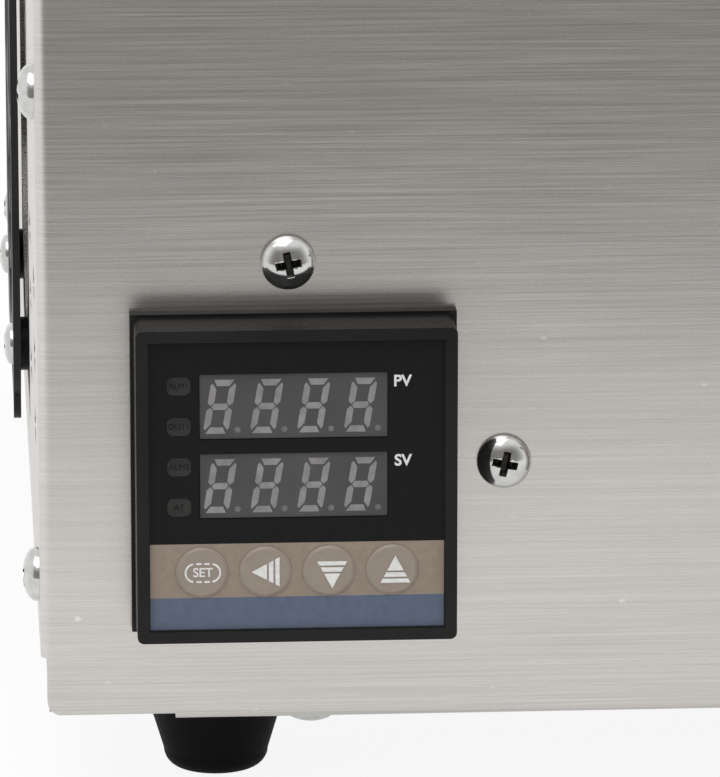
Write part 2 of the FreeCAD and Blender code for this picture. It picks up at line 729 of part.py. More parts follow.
# Casing screws
FRONT_SPIN = (10.0, -12.0)
node(group("front_screw_set", [
    drive(pan_screw("front_screw", spin=spin), x, 0, z, "-y")
    for (x, z), spin in zip(screen_screw_places, FRONT_SPIN)
]), "front_screws")
side_screws = []
for y, z in side_screw_places:
    side_screws.append(drive(pan_screw("left_screw"), 0, y, z, "-x"))
    side_screws.append(drive(pan_screw("right_screw"), casing_width, y, z, "x"))
node(group("side_screw_set", side_screws), "side_screws")
node(group("lip_screw_set", [
    drive(pan_screw("lip_screw"), x, lip_screw_setback, 0, "-z") for x in lip_screw_places
]), "base_screws")
node(group("back_screw_set", [
    drive(pan_screw("back_screw"), x, casing_depth, z, "y") for x, z in back_screw_places
]), "back_screws")

# Screen: a bent sheet over and beside the controller, with one tab behind each front screw
screen_right = controller_x + screen_screw_reach + screen_margin
screen_top = controller_z + screen_screw_rise + screen_margin
pan_top = 2 * sheet_gauge
tab_half = screen_tab_width / 2
screen_sheet = join("screen_sheet", [
    span("screen_roof", (2 * screen_margin, sheet_gauge, screen_top - sheet_gauge),
         (screen_right, screen_depth, screen_top)),
    span("screen_wall", (screen_right - sheet_gauge, lip_depth, pan_top),
         (screen_right, screen_depth, screen_top)),
    span("screen_roof_tab", (controller_x - tab_half, sheet_gauge, screen_top - 2 * screen_margin),
         (controller_x + tab_half, 2 * sheet_gauge, screen_top)),
    span("screen_wall_tab", (screen_right - 2 * screen_margin, sheet_gauge, controller_z - tab_half),
         (screen_right, 2 * sheet_gauge, controller_z + tab_half)),
    span("screen_wall_front", (screen_right - sheet_gauge, sheet_gauge, controller_z - tab_half),
         (screen_right, screen_depth, screen_top)),
])
node(cut("screen", screen_sheet, [
    screw_hole("screen_tab_hole", x, sheet_gauge, z, "y") for x, z in screen_screw_places
]), "controller_screen")

# Controller: one moulded case through the panel, with a raised hood round the fascia


def on_controller(name, width, height, y_low, y_high, u=0, v=0):
    """A block centred at (u, v) from the controller's middle, between two depths."""
    return bar(name, (width, as_size(y_high) - y_low, height),
               controller_x + u - as_size(width) / 2, as_size(y_low), controller_z + v - as_size(height) / 2)


fascia_front = fascia_recess - hood_reach
fascia_back = fascia_front + fascia_gauge
cavity_width = housing_width - 2 * housing_wall
fascia_seat = fascia_width + 2 * fascia_clearance
case_solid = join("case_solid", [
    on_controller("case_flange", flange_width, flange_width, -flange_gauge, 0),
    on_controller("case_hood", hood_width, hood_width, -hood_reach, 0),
    on_controller("case_housing", housing_width, housing_width, -flange_gauge, housing_depth),
])
node(cut("case", case_solid, [
    on_controller("case_seat", fascia_seat, fascia_seat, -past, fascia_back),
    on_controller("case_cavity", cavity_width, cavity_width, -past, housing_depth - housing_wall),
    on_controller("case_back_opening", terminal_width, terminal_width, 0, past),
]), "controller_case")

lamp_rises = [lamp_rise - step * lamp_pitch for step in range(4)]
key_offsets = {
    "key_set": -1.5 * key_pitch, "key_shift": -0.5 * key_pitch,
    "key_down": 0.5 * key_pitch, "key_up": 1.5 * key_pitch,
}
fascia_openings = [
    on_controller("measured_window", window_width, window_height, -past, past, -window_shift, measured_rise),
    on_controller("set_window", window_width, window_height, -past, past, -window_shift, 0),
]
for rise in lamp_rises:
    fascia_openings.append(
        on_controller("lamp_window", lamp_width, lamp_height, -past, past, -lamp_offset, rise))
for offset in key_offsets.values():
    fascia_openings.append(rod("key_window", key_radius + key_clearance, past,
                               controller_x + offset, -past / 2, controller_z - key_drop, "y"))
fascia_plate = on_controller("fascia_plate", fascia_width, fascia_width, fascia_front, fascia_back)
node(cut("fascia", fascia_plate, fascia_openings), "controller_fascia")

board_front = fascia_back + board_setback
node(on_controller("board", cavity_width - 2 * fascia_clearance, cavity_width - 2 * fascia_clearance,
                   board_front, board_front + board_gauge), "controller_board")
display_width = window_width - 2 * window_clearance
display_height = window_height - 2 * window_clearance
for label, rise in (("measured_display", measured_rise), ("setpoint_display", 0)):
    display_front = fascia_front + window_recess
    display = on_controller(label + "_block", display_width, display_height,
                            display_front, board_front, -window_shift, rise)
    node(display, label)
node(group("lamps", [
    on_controller("lamp", lamp_width - 2 * window_clearance, lamp_height - 2 * window_clearance,
                  fascia_front, board_front, -lamp_offset, rise)
    for rise in lamp_rises
]), "indicator_lamps")
key_rim_back = fascia_back + key_rim_gauge
switch_front = key_rim_back + key_travel + key_stop_gap
node(group("switches", [
    on_controller("key_switch", switch_width, switch_width, switch_front, board_front, offset, -key_drop)
    for offset in key_offsets.values()
]), "key_switches")
for label, offset in key_offsets.items():
    key_front = fascia_front - key_proud
    button = rod(label + "_button", key_radius, key_rim_back - key_front,
                 controller_x + offset, key_front, controller_z - key_drop, "y")
    rim = rod(label + "_rim", key_radius + key_clearance + key_rim_width, key_rim_gauge,
              controller_x + offset, fascia_back, controller_z - key_drop, "y")
    node(join(label, [button, rim]), label)

terminal_front = housing_depth - housing_wall
terminal_body = on_controller("terminal_body", terminal_width - 2 * fascia_clearance,
                              terminal_width - 2 * fascia_clearance,
                              terminal_front, housing_depth + terminal_depth)
terminal_rim = on_controller("terminal_rim", cavity_width - 2 * fascia_clearance,
                             cavity_width - 2 * fascia_clearance,
                             terminal_front - housing_wall, terminal_front)
TERMINAL_COLUMNS = (-1, 0, 1)
terminal_slots = [
    on_controller("terminal_slot", terminal_width / 6, past, housing_depth + terminal_depth / 2, past,
                  column * terminal_width / 3)
    for column in TERMINAL_COLUMNS
]
node(cut("terminals", join("terminal_solid", [terminal_body, terminal_rim]), terminal_slots),
     "controller_terminals")
clamp_block = on_controller("clamp_block", clamp_width, clamp_width, sheet_gauge, sheet_gauge + clamp_depth)
clamp_bore = on_controller("clamp_bore", cutout, cutout, -past, past)
node(cut("clamp", clamp_block, [clamp_bore]), "controller_clamp")

# Fans: a square frame with a motor boss on four struts, and a rotor on a shaft in the boss
BLADE_PITCH = 40


def fan_frame(name, width, depth, bore, spacing, hub, motor):
    """A fan frame about its own z axis: open at z 0, motor boss at the far side."""
    block = primitive("Part::Box", name + "_block", {"Length": width, "Width": width, "Height": depth})
    move(block, -width / 2, -width / 2, 0)
    tunnel = primitive("Part::Cylinder", name + "_tunnel", {"Radius": bore, "Height": depth})
    holes = [tunnel]
    for step_u in (-1, 1):
        for step_v in (-1, 1):
            hole = primitive("Part::Cylinder", name + "_hole", {"Radius": screw_hole_radius, "Height": depth})
            holes.append(move(hole, step_u * spacing / 2, step_v * spacing / 2, 0))
    shell = cut(name + "_shell", block, holes)
    boss = primitive("Part::Cylinder", name + "_boss", {"Radius": hub, "Height": motor})
    parts = [shell, move(boss, 0, 0, depth - motor)]
    for turn in (0, 90):
        strut = primitive("Part::Box", name + "_strut", {
            "Length": 2 * bore + fan_tip_gap, "Width": fan_strut_width, "Height": motor})
        rotation = FreeCAD.Rotation(FreeCAD.Vector(0, 0, 1), turn)
        half_length = bore + fan_tip_gap / 2
        half_width = fan_strut_width / 2
        u, v = (-half_length, -half_width) if turn == 0 else (half_width, -half_length)
        parts.append(move(strut, u, v, depth - motor, rotation))
    bearing = primitive("Part::Cylinder", name + "_bearing", {
        "Radius": shaft_radius + shaft_clearance, "Height": depth})
    return cut(name, join(name + "_solid", parts), [bearing])


def fan_rotor(name, depth, bore, hub, motor, blades):
    """A fan rotor about its own z axis, in the frame of its fan."""
    hub_depth = depth - motor - 2 * rotor_gap
    cup = primitive("Part::Cylinder", name + "_cup", {"Radius": hub, "Height": hub_depth})
    shaft = primitive("Part::Cylinder", name + "_shaft", {"Radius": shaft_radius, "Height": depth - rotor_gap})
    parts = [move(cup, 0, 0, rotor_gap), move(shaft, 0, 0, rotor_gap)]
    root = hub * math.cos(math.pi / blades)
    pitch = FreeCAD.Rotation(FreeCAD.Vector(1, 0, 0), BLADE_PITCH)
    blade_depth = hub_depth - 2 * blade_margin
    for index in range(blades):
        blade = primitive("Part::Box", name + "_blade", {
            "Length": bore - fan_tip_gap * 2 - root, "Width": blade_gauge, "Height": blade_depth})
        corner = FreeCAD.Vector(root.value, -blade_gauge.value / 2, -blade_depth.value / 2)
        middle = FreeCAD.Vector(0, 0, rotor_gap.value + hub_depth.value / 2)
        lift = FreeCAD.Placement(middle, FreeCAD.Rotation())
        share = FreeCAD.Rotation(FreeCAD.Vector(0, 0, 1), FULL_TURN * index / blades)
        around = FreeCAD.Placement(FreeCAD.Vector(), share)
        tilt = FreeCAD.Placement(FreeCAD.Vector(), pitch)
        offset = FreeCAD.Placement(corner, FreeCAD.Rotation())
        blade.Placement = lift.multiply(around).multiply(tilt).multiply(offset)
        parts.append(blade)
    return join(name, parts)


COOLING_BLADES = 7
EXHAUST_BLADES = 7
cooling_frame = fan_frame("cooling_frame", fan_width, fan_depth, fan_bore_radius, fan_hole_spacing,
                          fan_hub_radius, fan_motor_depth)
node(place(cooling_frame, sheet_gauge, fan_setback, fan_rise, AXIS_TURN["x"]), "cooling_fan_frame")
cooling_rotor = fan_rotor("cooling_rotor", fan_depth, fan_bore_radius, fan_hub_radius, fan_motor_depth,
                          COOLING_BLADES)
node(place(cooling_rotor, sheet_gauge, fan_setback, fan_rise, AXIS_TURN["x"]), "cooling_fan_rotor")
exhaust_frame = fan_frame("exhaust_frame", exhaust_width, exhaust_depth, exhaust_bore_radius,
                          exhaust_hole_spacing, exhaust_hub_radius, exhaust_motor_depth)
back_inside = casing_depth - sheet_gauge
node(place(exhaust_frame, exhaust_x, back_inside, exhaust_z, AXIS_TURN["-y"]), "exhaust_fan_frame")
exhaust_rotor = fan_rotor("exhaust_rotor", exhaust_depth, exhaust_bore_radius, exhaust_hub_radius,
                          exhaust_motor_depth, EXHAUST_BLADES)
node(place(exhaust_rotor, exhaust_x, back_inside, exhaust_z, AXIS_TURN["-y"]), "exhaust_fan_rotor")
node(group("exhaust_screw_set", [
    drive(pan_screw("exhaust_screw"), x, casing_depth, z, "y") for x, z in exhaust_corner_places
]), "exhaust_fan_screws")

# Fan guard: a thin plastic grille that stands off the left side on four corner bosses, with a pull tab
guard_plate = padded("guard_plate", "YZ_Plane",
                     rounded_rectangle(guard_width, guard_width, guard_corner_radius), guard_bar_gauge)
place(guard_plate, -guard_depth, fan_setback, fan_rise)
guard_opening = rod("guard_opening", fan_bore_radius, 2 * guard_depth,
                    -2 * guard_depth, fan_setback, fan_rise, "x")
guard_parts = [cut("guard_frame", guard_plate, [guard_opening])]
GUARD_RINGS = 3
ring_step = fan_bore_radius / (GUARD_RINGS + 1)
for ring in range(1, GUARD_RINGS + 1):
    outer = ring * ring_step + guard_bar_width / 2
    disc = rod("guard_disc", outer, guard_bar_gauge, -guard_depth, fan_setback, fan_rise, "x")
    if ring == 1:
        guard_parts.append(disc)
        continue
    hole = rod("guard_ring_hole", outer - guard_bar_width, 2 * guard_depth,
               -2 * guard_depth, fan_setback, fan_rise, "x")
    guard_parts.append(cut("guard_ring", disc, [hole]))
reach = fan_bore_radius + guard_bar_width
half_bar = guard_bar_width / 2
guard_parts.append(span("guard_bar_level", (-guard_depth, fan_setback - reach, fan_rise - half_bar),
                        (guard_bar_gauge - guard_depth, fan_setback + reach, fan_rise + half_bar)))
guard_parts.append(span("guard_bar_upright", (-guard_depth, fan_setback - half_bar, fan_rise - reach),
                        (guard_bar_gauge - guard_depth, fan_setback + half_bar, fan_rise + reach)))
tab_y = fan_setback - fan_hole_spacing / 2
tab_top = fan_rise - fan_hole_spacing / 2
tab_foot = tab_top - guard_tab_length + guard_tab_width / 2
guard_parts.append(span("guard_tab", (-guard_depth, tab_y - guard_tab_width / 2, tab_foot),
                        (guard_bar_gauge - guard_depth, tab_y + guard_tab_width / 2, tab_top)))
guard_parts.append(rod("guard_tab_end", guard_tab_width / 2, guard_bar_gauge, -guard_depth, tab_y, tab_foot, "x"))
guard_holes = []
for y, z in fan_corner_places:
    guard_parts.append(rod("guard_boss", guard_boss_radius, guard_depth, -guard_depth, y, z, "x"))
    guard_holes.append(screw_hole("guard_screw_hole", 0, y, z, "x"))
node(cut("guard", join("guard_solid", guard_parts), guard_holes), "fan_guard")
guard_screws = []
for y, z in fan_corner_places:
    guard_screw = pan_screw("guard_screw", guard_head_radius, guard_head_height, guard_head_rounding)
    guard_screws.append(drive(guard_screw, -guard_depth, y, z, "-x"))
node(group("guard_screw_set", guard_screws), "guard_screws")

# Chamber: a box of bright sheet behind the drawer opening, wrapped in fibre blanket on the base pan
liner_left = opening_left - liner_margin - liner_gauge
liner_right = opening_left + opening_width + liner_margin + liner_gauge
liner_floor = opening_floor - liner_margin - liner_gauge
liner_top = opening_floor + opening_height + liner_margin + liner_gauge
liner_back = sheet_gauge + liner_depth
blanket_back = liner_back + blanket_gauge
duct_hole = rod("duct_hole", duct_radius + duct_gauge + cutout_clearance, past,
                exhaust_x, past / 2, exhaust_z, "y")
liner_right_inside = liner_right - liner_gauge
liner_block = span("liner_block", (liner_left, sheet_gauge, liner_floor), (liner_right, liner_back, liner_top))
liner_room = span("liner_room", (liner_left + liner_gauge, -past, liner_floor + liner_gauge),
                  (liner_right_inside, liner_back - liner_gauge, liner_top - liner_gauge))
liner_shell = cut("liner_shell", liner_block, [liner_room])
liner_probe_hole = rod("liner_probe_hole", probe_radius + probe_clearance, liner_left + 2 * liner_gauge,
                       0, probe_setback, probe_rise, "x")
node(cut("liner", liner_shell, [duct_hole, liner_probe_hole]), "chamber_liner")
blanket_block = span("blanket_block", (liner_left - blanket_gauge, lip_depth, pan_top),
                     (liner_right + blanket_gauge, blanket_back, liner_top + blanket_gauge))
blanket_room = span("blanket_room", (liner_left, -past, liner_floor), (liner_right, liner_back, liner_top))
blanket_shell = cut("blanket_shell", blanket_block, [blanket_room])
blanket_duct_hole = rod("blanket_duct_hole", duct_radius + duct_gauge + cutout_clearance, past,
                        exhaust_x, past / 2, exhaust_z, "y")
blanket_probe_hole = rod("blanket_probe_hole", probe_radius + probe_clearance, liner_left,
                         0, probe_setback, probe_rise, "x")
node(cut("blanket", blanket_shell, [blanket_duct_hole, blanket_probe_hole]), "insulation_blanket")
duct_end = back_inside - exhaust_depth
duct_start = liner_back - liner_gauge
duct_tube = rod("duct_tube", duct_radius + duct_gauge, duct_end - duct_start,
                exhaust_x, duct_start, exhaust_z, "y")
duct_bore = rod("duct_bore", duct_radius, past, exhaust_x, duct_start - liner_gauge, exhaust_z, "y")
node(cut("duct", duct_tube, [duct_bore]), "exhaust_duct")

HEATERS = 4
heater_z = liner_top - liner_gauge - heater_drop
heater_tubes = []
end_caps = []
for index in range(HEATERS):
    y = heater_setback + index * heater_pitch
    inside_left = liner_left + liner_gauge
    heater_tubes.append(rod("heater_tube", heater_radius, liner_right_inside - inside_left - 2 * end_cap_length,
                            inside_left + end_cap_length, y, heater_z, "x"))
    end_caps.append(rod("left_end_cap", end_cap_radius, end_cap_length, inside_left, y, heater_z, "x"))
    end_caps.append(rod("right_end_cap", end_cap_radius, end_cap_length,
                        liner_right_inside - end_cap_length, y, heater_z, "x"))
node(group("heaters", heater_tubes), "heater_tubes")
node(group("end_caps", end_caps), "heater_end_caps")
node(span("reflector", (liner_left + 2 * liner_gauge, 2 * lip_depth, liner_top - 2 * liner_gauge),
          (liner_right - 2 * liner_gauge, liner_back - 2 * lip_depth, liner_top - liner_gauge)),
     "heat_reflector")
gland_left = liner_left - blanket_gauge - gland_length
node(join("probe", [
    rod("probe_rod", probe_radius, probe_reach + blanket_gauge + gland_length,
        gland_left, probe_setback, probe_rise, "x"),
    rod("probe_gland", gland_radius, gland_length, gland_left, probe_setback, probe_rise, "x"),
]), "thermocouple_probe")

# Drawer: a hollow front with a glass pane, and a slotted tray in a frame on two runners
drawer_left = opening_left - front_overlap
drawer_right = opening_left + opening_width + front_overlap
drawer_floor = opening_floor - front_overlap
drawer_top = opening_floor + opening_height + front_overlap
gasket_front = -gasket_gap - gasket_gauge
middle_x = (drawer_left + drawer_right) / 2
middle_z = (drawer_floor + drawer_top) / 2
glass_x = middle_x - glass_width / 2
glass_z = drawer_floor + glass_rise - glass_height / 2
handle_z = drawer_top - handle_drop
post_places = [middle_x + step * (handle_length / 2 - handle_post_inset) for step in (-1, 1)]


def window_hole(name):
    """The opening that the window looks through."""
    return bar(name, (glass_width, past, glass_height), glass_x, -past, glass_z)


front_outline = rounded_rectangle(drawer_right - drawer_left, drawer_top - drawer_floor, drawer_edge_radius)
front_block = padded("front_block", "XZ_Plane", front_outline, front_skin_depth, True)
place(front_block, middle_x, -drawer_face, middle_z)
front_room = span("front_room",
                  (drawer_left + sheet_gauge, sheet_gauge - drawer_face, drawer_floor + sheet_gauge),
                  (drawer_right - sheet_gauge, 0, drawer_top - sheet_gauge))
front_holes = [window_hole("front_window")]
for x in post_places:
    front_holes.append(rod("handle_hole", screw_hole_radius, past, x, -past, handle_z, "y"))
node(cut("front_skin", front_block, [front_room] + front_holes), "drawer_front")
plate_back = gasket_front
inner_plate = span("inner_plate",
                   (drawer_left + sheet_gauge, plate_back - sheet_gauge, drawer_floor + sheet_gauge),
                   (drawer_right - sheet_gauge, plate_back, drawer_top - sheet_gauge))
node(cut("inner_skin", inner_plate, [window_hole("inner_window")]), "drawer_inner_plate")
glass_front = sheet_gauge - drawer_face
node(bar("pane", (glass_width + 2 * glass_overlap, glass_gauge, glass_height + 2 * glass_overlap),
         glass_x - glass_overlap, glass_front, glass_z - glass_overlap), "window_glass")
clip_length = plate_back - sheet_gauge - glass_front - glass_gauge
clip_frame = bar("clip_frame",
                 (glass_width + 2 * glass_overlap, clip_length, glass_height + 2 * glass_overlap),
                 glass_x - glass_overlap, glass_front + glass_gauge, glass_z - glass_overlap)
node(cut("clip", clip_frame, [window_hole("clip_window")]), "window_frame")
gasket_block = span("gasket_block", (drawer_left + sheet_gauge, gasket_front, drawer_floor + sheet_gauge),
                    (drawer_right - sheet_gauge, -gasket_gap, drawer_top - sheet_gauge))
gasket_hole = span("gasket_hole", (drawer_left + gasket_width, -past, drawer_floor + gasket_width),
                   (drawer_right - gasket_width, past, drawer_top - gasket_width))
node(cut("gasket", gasket_block, [gasket_hole]), "drawer_gasket")

post_root = -drawer_face
bar_y = post_root - handle_post_length
grip = rod("handle_grip", handle_radius, handle_length, middle_x - handle_length / 2, bar_y, handle_z, "x")
posts = [
    rod("handle_post", handle_post_radius, handle_post_length, x, bar_y, handle_z, "y") for x in post_places
]
pilot_holes = [
    rod("handle_pilot", screw_hole_radius, screw_length, x, post_root - screw_length, handle_z, "y")
    for x in post_places
]
node(cut("handle", join("handle_solid", [grip] + posts), pilot_holes), "drawer_handle")
handle_screws = [
    drive(pan_screw("handle_screw"), x, sheet_gauge - drawer_face, handle_z, "y") for x in post_places
]
node(group("handle_screw_set", handle_screws), "handle_screws")

rail_inside = liner_left + liner_gauge
runner_left = rail_inside + rail_width
tray_left = runner_left + runner_width
tray_right = liner_right_inside - rail_width - runner_width
tray_top = tray_floor + tray_wall_height
tray_front = plate_back
frame_block = span("frame_block", (tray_left, tray_front, tray_floor), (tray_right, tray_depth, tray_top))
frame_room = span("frame_room", (tray_left + tray_gauge, tray_front + tray_gauge, -past),
                  (tray_right - tray_gauge, tray_depth - tray_gauge, past))
node(cut("frame", frame_block, [frame_room]), "tray_frame")
TRAY_BANDS = 7
tray_slot_pitch = (tray_depth - tray_front) / TRAY_BANDS
tray_slots = [
    bar("tray_slot", (tray_slot_length, tray_slot_width, 4 * tray_gauge),
        middle_x - tray_slot_length / 2, tray_front + band * tray_slot_pitch - tray_slot_width / 2,
        tray_floor - tray_gauge)
    for band in range(1, TRAY_BANDS)
]
tray_sheet = span("tray_sheet", (tray_left + tray_gauge, tray_front + tray_gauge, tray_floor),
                  (tray_right - tray_gauge, tray_depth - tray_gauge, tray_floor + tray_gauge))
node(cut("tray", tray_sheet, tray_slots), "drawer_tray")
runner_floor = tray_floor + runner_rise
runners = []
rails = []
rail_front = 2 * sheet_gauge
rail_back = liner_back - liner_gauge
for side, runner_x, leaf_x, ledge_x in (
    ("left", runner_left, rail_inside, rail_inside),
    ("right", tray_right, liner_right_inside - rail_gauge, liner_right_inside - rail_width - runner_width / 2),
):
    runners.append(bar(side + "_runner", (runner_width, tray_depth - rail_front, runner_height),
                       runner_x, rail_front, runner_floor))
    ledge_top = runner_floor - rail_gap
    leaf = bar(side + "_leaf", (rail_gauge, rail_back - rail_front, runner_height),
               leaf_x, rail_front, ledge_top - rail_gauge)
    ledge = bar(side + "_ledge", (rail_width + runner_width / 2, rail_back - rail_front, rail_gauge),
                ledge_x, rail_front, ledge_top - rail_gauge)
    rails.append((side, join(side + "_rail", [leaf, ledge])))
node(group("runners", runners), "drawer_runners")
for side, rail in rails:
    node(rail, f"chamber_rail_{side}")

# Power control: a finned sink on the base pan with the relay on top, and a terminal strip beside it
sink_block = bar("sink_block", (sink_width, sink_length, sink_height), relay_x, relay_y, pan_top)
FINS = 8
fin_pitch = sink_width / FINS
fin_cuts = [
    bar("fin_cut", (fin_gap, past, sink_height - sink_base),
        relay_x + fin * fin_pitch - fin_gap / 2, relay_y - past / 2, pan_top)
    for fin in range(1, FINS)
]
node(cut("sink", sink_block, fin_cuts), "relay_heat_sink")
relay_left = relay_x + (sink_width - relay_width) / 2
relay_front = relay_y + (sink_length - relay_length) / 2
sink_top = pan_top + sink_height
relay_block = bar("relay_block", (relay_width, relay_length, relay_height), relay_left, relay_front, sink_top)
terminal_well = relay_length / 5
relay_wells = [
    bar("relay_well", (relay_width, terminal_well, relay_height / 3),
        relay_left, y, sink_top + 2 * relay_height / 3)
    for y in (relay_front, relay_front + relay_length - terminal_well)
]
node(cut("relay", relay_block, relay_wells), "solid_state_relay")
strip_block = bar("strip_block", (strip_width, strip_length, strip_height), strip_x, strip_y, pan_top)
STRIP_WAYS = 6
first_well = strip_y + (strip_length - (STRIP_WAYS - 1) * strip_way_pitch - strip_well_length) / 2
strip_wells = [
    bar("strip_well", (strip_width / 3, strip_well_length, strip_height / 2),
        strip_x + strip_width / 3, first_well + way * strip_way_pitch, pan_top + strip_height / 2)
    for way in range(STRIP_WAYS)
]
node(cut("strip", strip_block, strip_wells), "terminal_strip")

# Mains inlet, rocker switch and fuse holder in the back panel
inlet_flange = bar("inlet_flange", (inlet_flange_width, inlet_flange_gauge, inlet_flange_height),
                   inlet_x - inlet_flange_width / 2, casing_depth, inlet_z - inlet_flange_height / 2)
inlet_body = bar("inlet_body", (inlet_width, inlet_depth, inlet_height),
                 inlet_x - inlet_width / 2, casing_depth - inlet_depth, inlet_z - inlet_height / 2)
inlet_back = casing_depth + inlet_flange_gauge
mouth = bar("inlet_mouth", (inlet_mouth_width, past, inlet_mouth_height),
            inlet_x - inlet_mouth_width / 2, inlet_back - inlet_mouth_depth, inlet_z - inlet_mouth_height / 2)
inlet_holes = [
    screw_hole("inlet_screw_hole", inlet_x + step * inlet_screw_spacing / 2, casing_depth, inlet_z, "y")
    for step in (-1, 1)
]
node(cut("inlet", join("inlet_solid", [inlet_flange, inlet_body]), [mouth] + inlet_holes), "power_inlet")
PIN_PLACES = ((-1, -1), (0, 1), (1, -1))
node(group("pins", [
    bar("inlet_pin", (pin_width, pin_length, pin_height),
        inlet_x + step * pin_spacing - pin_width / 2, inlet_back - inlet_mouth_depth,
        inlet_z + lift * pin_stagger - pin_height / 2)
    for step, lift in PIN_PLACES
]), "inlet_pins")
node(group("inlet_screw_set", [
    drive(pan_screw("inlet_screw"), inlet_x + step * inlet_screw_spacing / 2, inlet_back, inlet_z, "y")
    for step in (-1, 1)
]), "inlet_screws")

switch_flange = bar("switch_flange", (switch_flange_width, switch_flange_gauge, switch_flange_height),
                    switch_x - switch_flange_width / 2, casing_depth, inlet_z - switch_flange_height / 2)
switch_body = bar("switch_body", (switch_body_width, switch_body_depth, switch_body_height),
                  switch_x - switch_body_width / 2, casing_depth - switch_body_depth,
                  inlet_z - switch_body_height / 2)
switch_back = casing_depth + switch_flange_gauge
well_width = switch_body_width - 2 * rocker_wall
well_height = switch_body_height - 2 * rocker_wall
switch_well = bar("switch_well", (well_width, past, well_height),
                  switch_x - well_width / 2, switch_back - switch_body_depth, inlet_z - well_height / 2)
pivot_y = switch_back + rocker_proud - rocker_radius
pivot_hole = rod("pivot_hole", pivot_radius + pivot_clearance, switch_body_height - rocker_wall,
                 switch_x, pivot_y, inlet_z - (switch_body_height - rocker_wall) / 2, "z")
node(cut("switch_case", join("switch_solid", [switch_flange, switch_body]), [switch_well, pivot_hole]),
     "switch_housing")
rocker_width = well_width - 2 * rocker_clearance
rocker_height = well_height - 2 * rocker_clearance
rocker_disc = primitive("Part::Cylinder", "rocker_disc", {"Radius": rocker_radius, "Height": rocker_height})
move(rocker_disc, 0, 0, -rocker_height / 2)
rocker_limit = primitive("Part::Box", "rocker_limit", {
    "Length": rocker_width - 2 * rocker_swing, "Width": rocker_radius, "Height": rocker_height})
move(rocker_limit, rocker_swing - rocker_width / 2, 0, -rocker_height / 2)
rocker_cap = doc.addObject("Part::MultiCommon", "rocker_cap")
rocker_cap.Shapes = [rocker_disc, rocker_limit]
rocker_boss = primitive("Part::Cylinder", "rocker_boss", {"Radius": 2 * pivot_radius, "Height": rocker_height})
move(rocker_boss, 0, 0, -rocker_height / 2)
pivot_length = well_height + rocker_wall / 2
rocker_pin = primitive("Part::Cylinder", "rocker_pin", {"Radius": pivot_radius, "Height": pivot_length})
move(rocker_pin, 0, 0, -pivot_length / 2)
rocker = join("rocker", [rocker_cap, rocker_boss, rocker_pin])
OFF_ANGLE = -8
off_tilt = FreeCAD.Rotation(FreeCAD.Vector(0, 0, 1), OFF_ANGLE)
node(place(rocker, switch_x, pivot_y, inlet_z, off_tilt), "switch_rocker")

fuse_body = rod("fuse_body", fuse_body_radius, fuse_body_length,
                fuse_x, casing_depth - fuse_body_length, fuse_z, "y")
fuse_cap = rod("fuse_cap", fuse_cap_radius, fuse_cap_length, fuse_x, casing_depth, fuse_z, "y")
fuse_slot = bar("fuse_slot", (fuse_cap_radius, fuse_cap_length, pivot_radius),
                fuse_x - fuse_cap_radius / 2, casing_depth + fuse_cap_length - fuse_slot_depth,
                fuse_z - pivot_radius / 2)
node(cut("fuse", join("fuse_solid", [fuse_body, fuse_cap]), [fuse_slot]), "fuse_holder")

doc.recompute()
for item in doc.Objects:
    if "Invalid" in item.State or "Error" in item.State:
        raise RuntimeError(f"{item.Label} failed: {item.State}")
for piece in nodes:
    if piece.Shape.isNull() or not piece.Shape.isValid():
        raise RuntimeError(f"{piece.Label} has no valid shape")
os.makedirs("parts", exist_ok=True)
for piece in nodes:
    piece.Shape.exportStep(f"parts/{piece.Label}.step")
    print(piece.Label, len(piece.Shape.Solids), round(piece.Shape.Volume))
print(len(nodes), "sub-parts")
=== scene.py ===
import bmesh
import bpy
import json
import math
from mathutils import Matrix, Vector

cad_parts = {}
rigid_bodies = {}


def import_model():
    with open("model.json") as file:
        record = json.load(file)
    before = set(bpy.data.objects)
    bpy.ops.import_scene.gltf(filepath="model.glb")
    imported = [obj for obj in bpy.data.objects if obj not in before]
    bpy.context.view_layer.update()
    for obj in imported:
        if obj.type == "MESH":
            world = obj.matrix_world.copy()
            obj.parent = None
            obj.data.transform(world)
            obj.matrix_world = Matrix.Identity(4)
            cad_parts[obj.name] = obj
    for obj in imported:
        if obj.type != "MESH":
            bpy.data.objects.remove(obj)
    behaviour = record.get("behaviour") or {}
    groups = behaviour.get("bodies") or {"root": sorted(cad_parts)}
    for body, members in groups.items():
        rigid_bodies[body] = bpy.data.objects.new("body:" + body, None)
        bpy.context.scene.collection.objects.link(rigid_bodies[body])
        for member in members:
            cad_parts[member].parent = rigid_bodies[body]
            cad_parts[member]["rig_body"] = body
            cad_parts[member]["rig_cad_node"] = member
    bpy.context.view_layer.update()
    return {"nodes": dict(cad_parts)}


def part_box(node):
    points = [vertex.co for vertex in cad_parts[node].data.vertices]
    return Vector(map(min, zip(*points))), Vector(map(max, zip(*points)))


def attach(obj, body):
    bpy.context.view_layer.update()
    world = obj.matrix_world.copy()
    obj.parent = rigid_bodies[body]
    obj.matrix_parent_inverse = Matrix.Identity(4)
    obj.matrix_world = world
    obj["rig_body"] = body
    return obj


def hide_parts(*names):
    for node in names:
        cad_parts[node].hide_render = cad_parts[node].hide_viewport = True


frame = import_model()

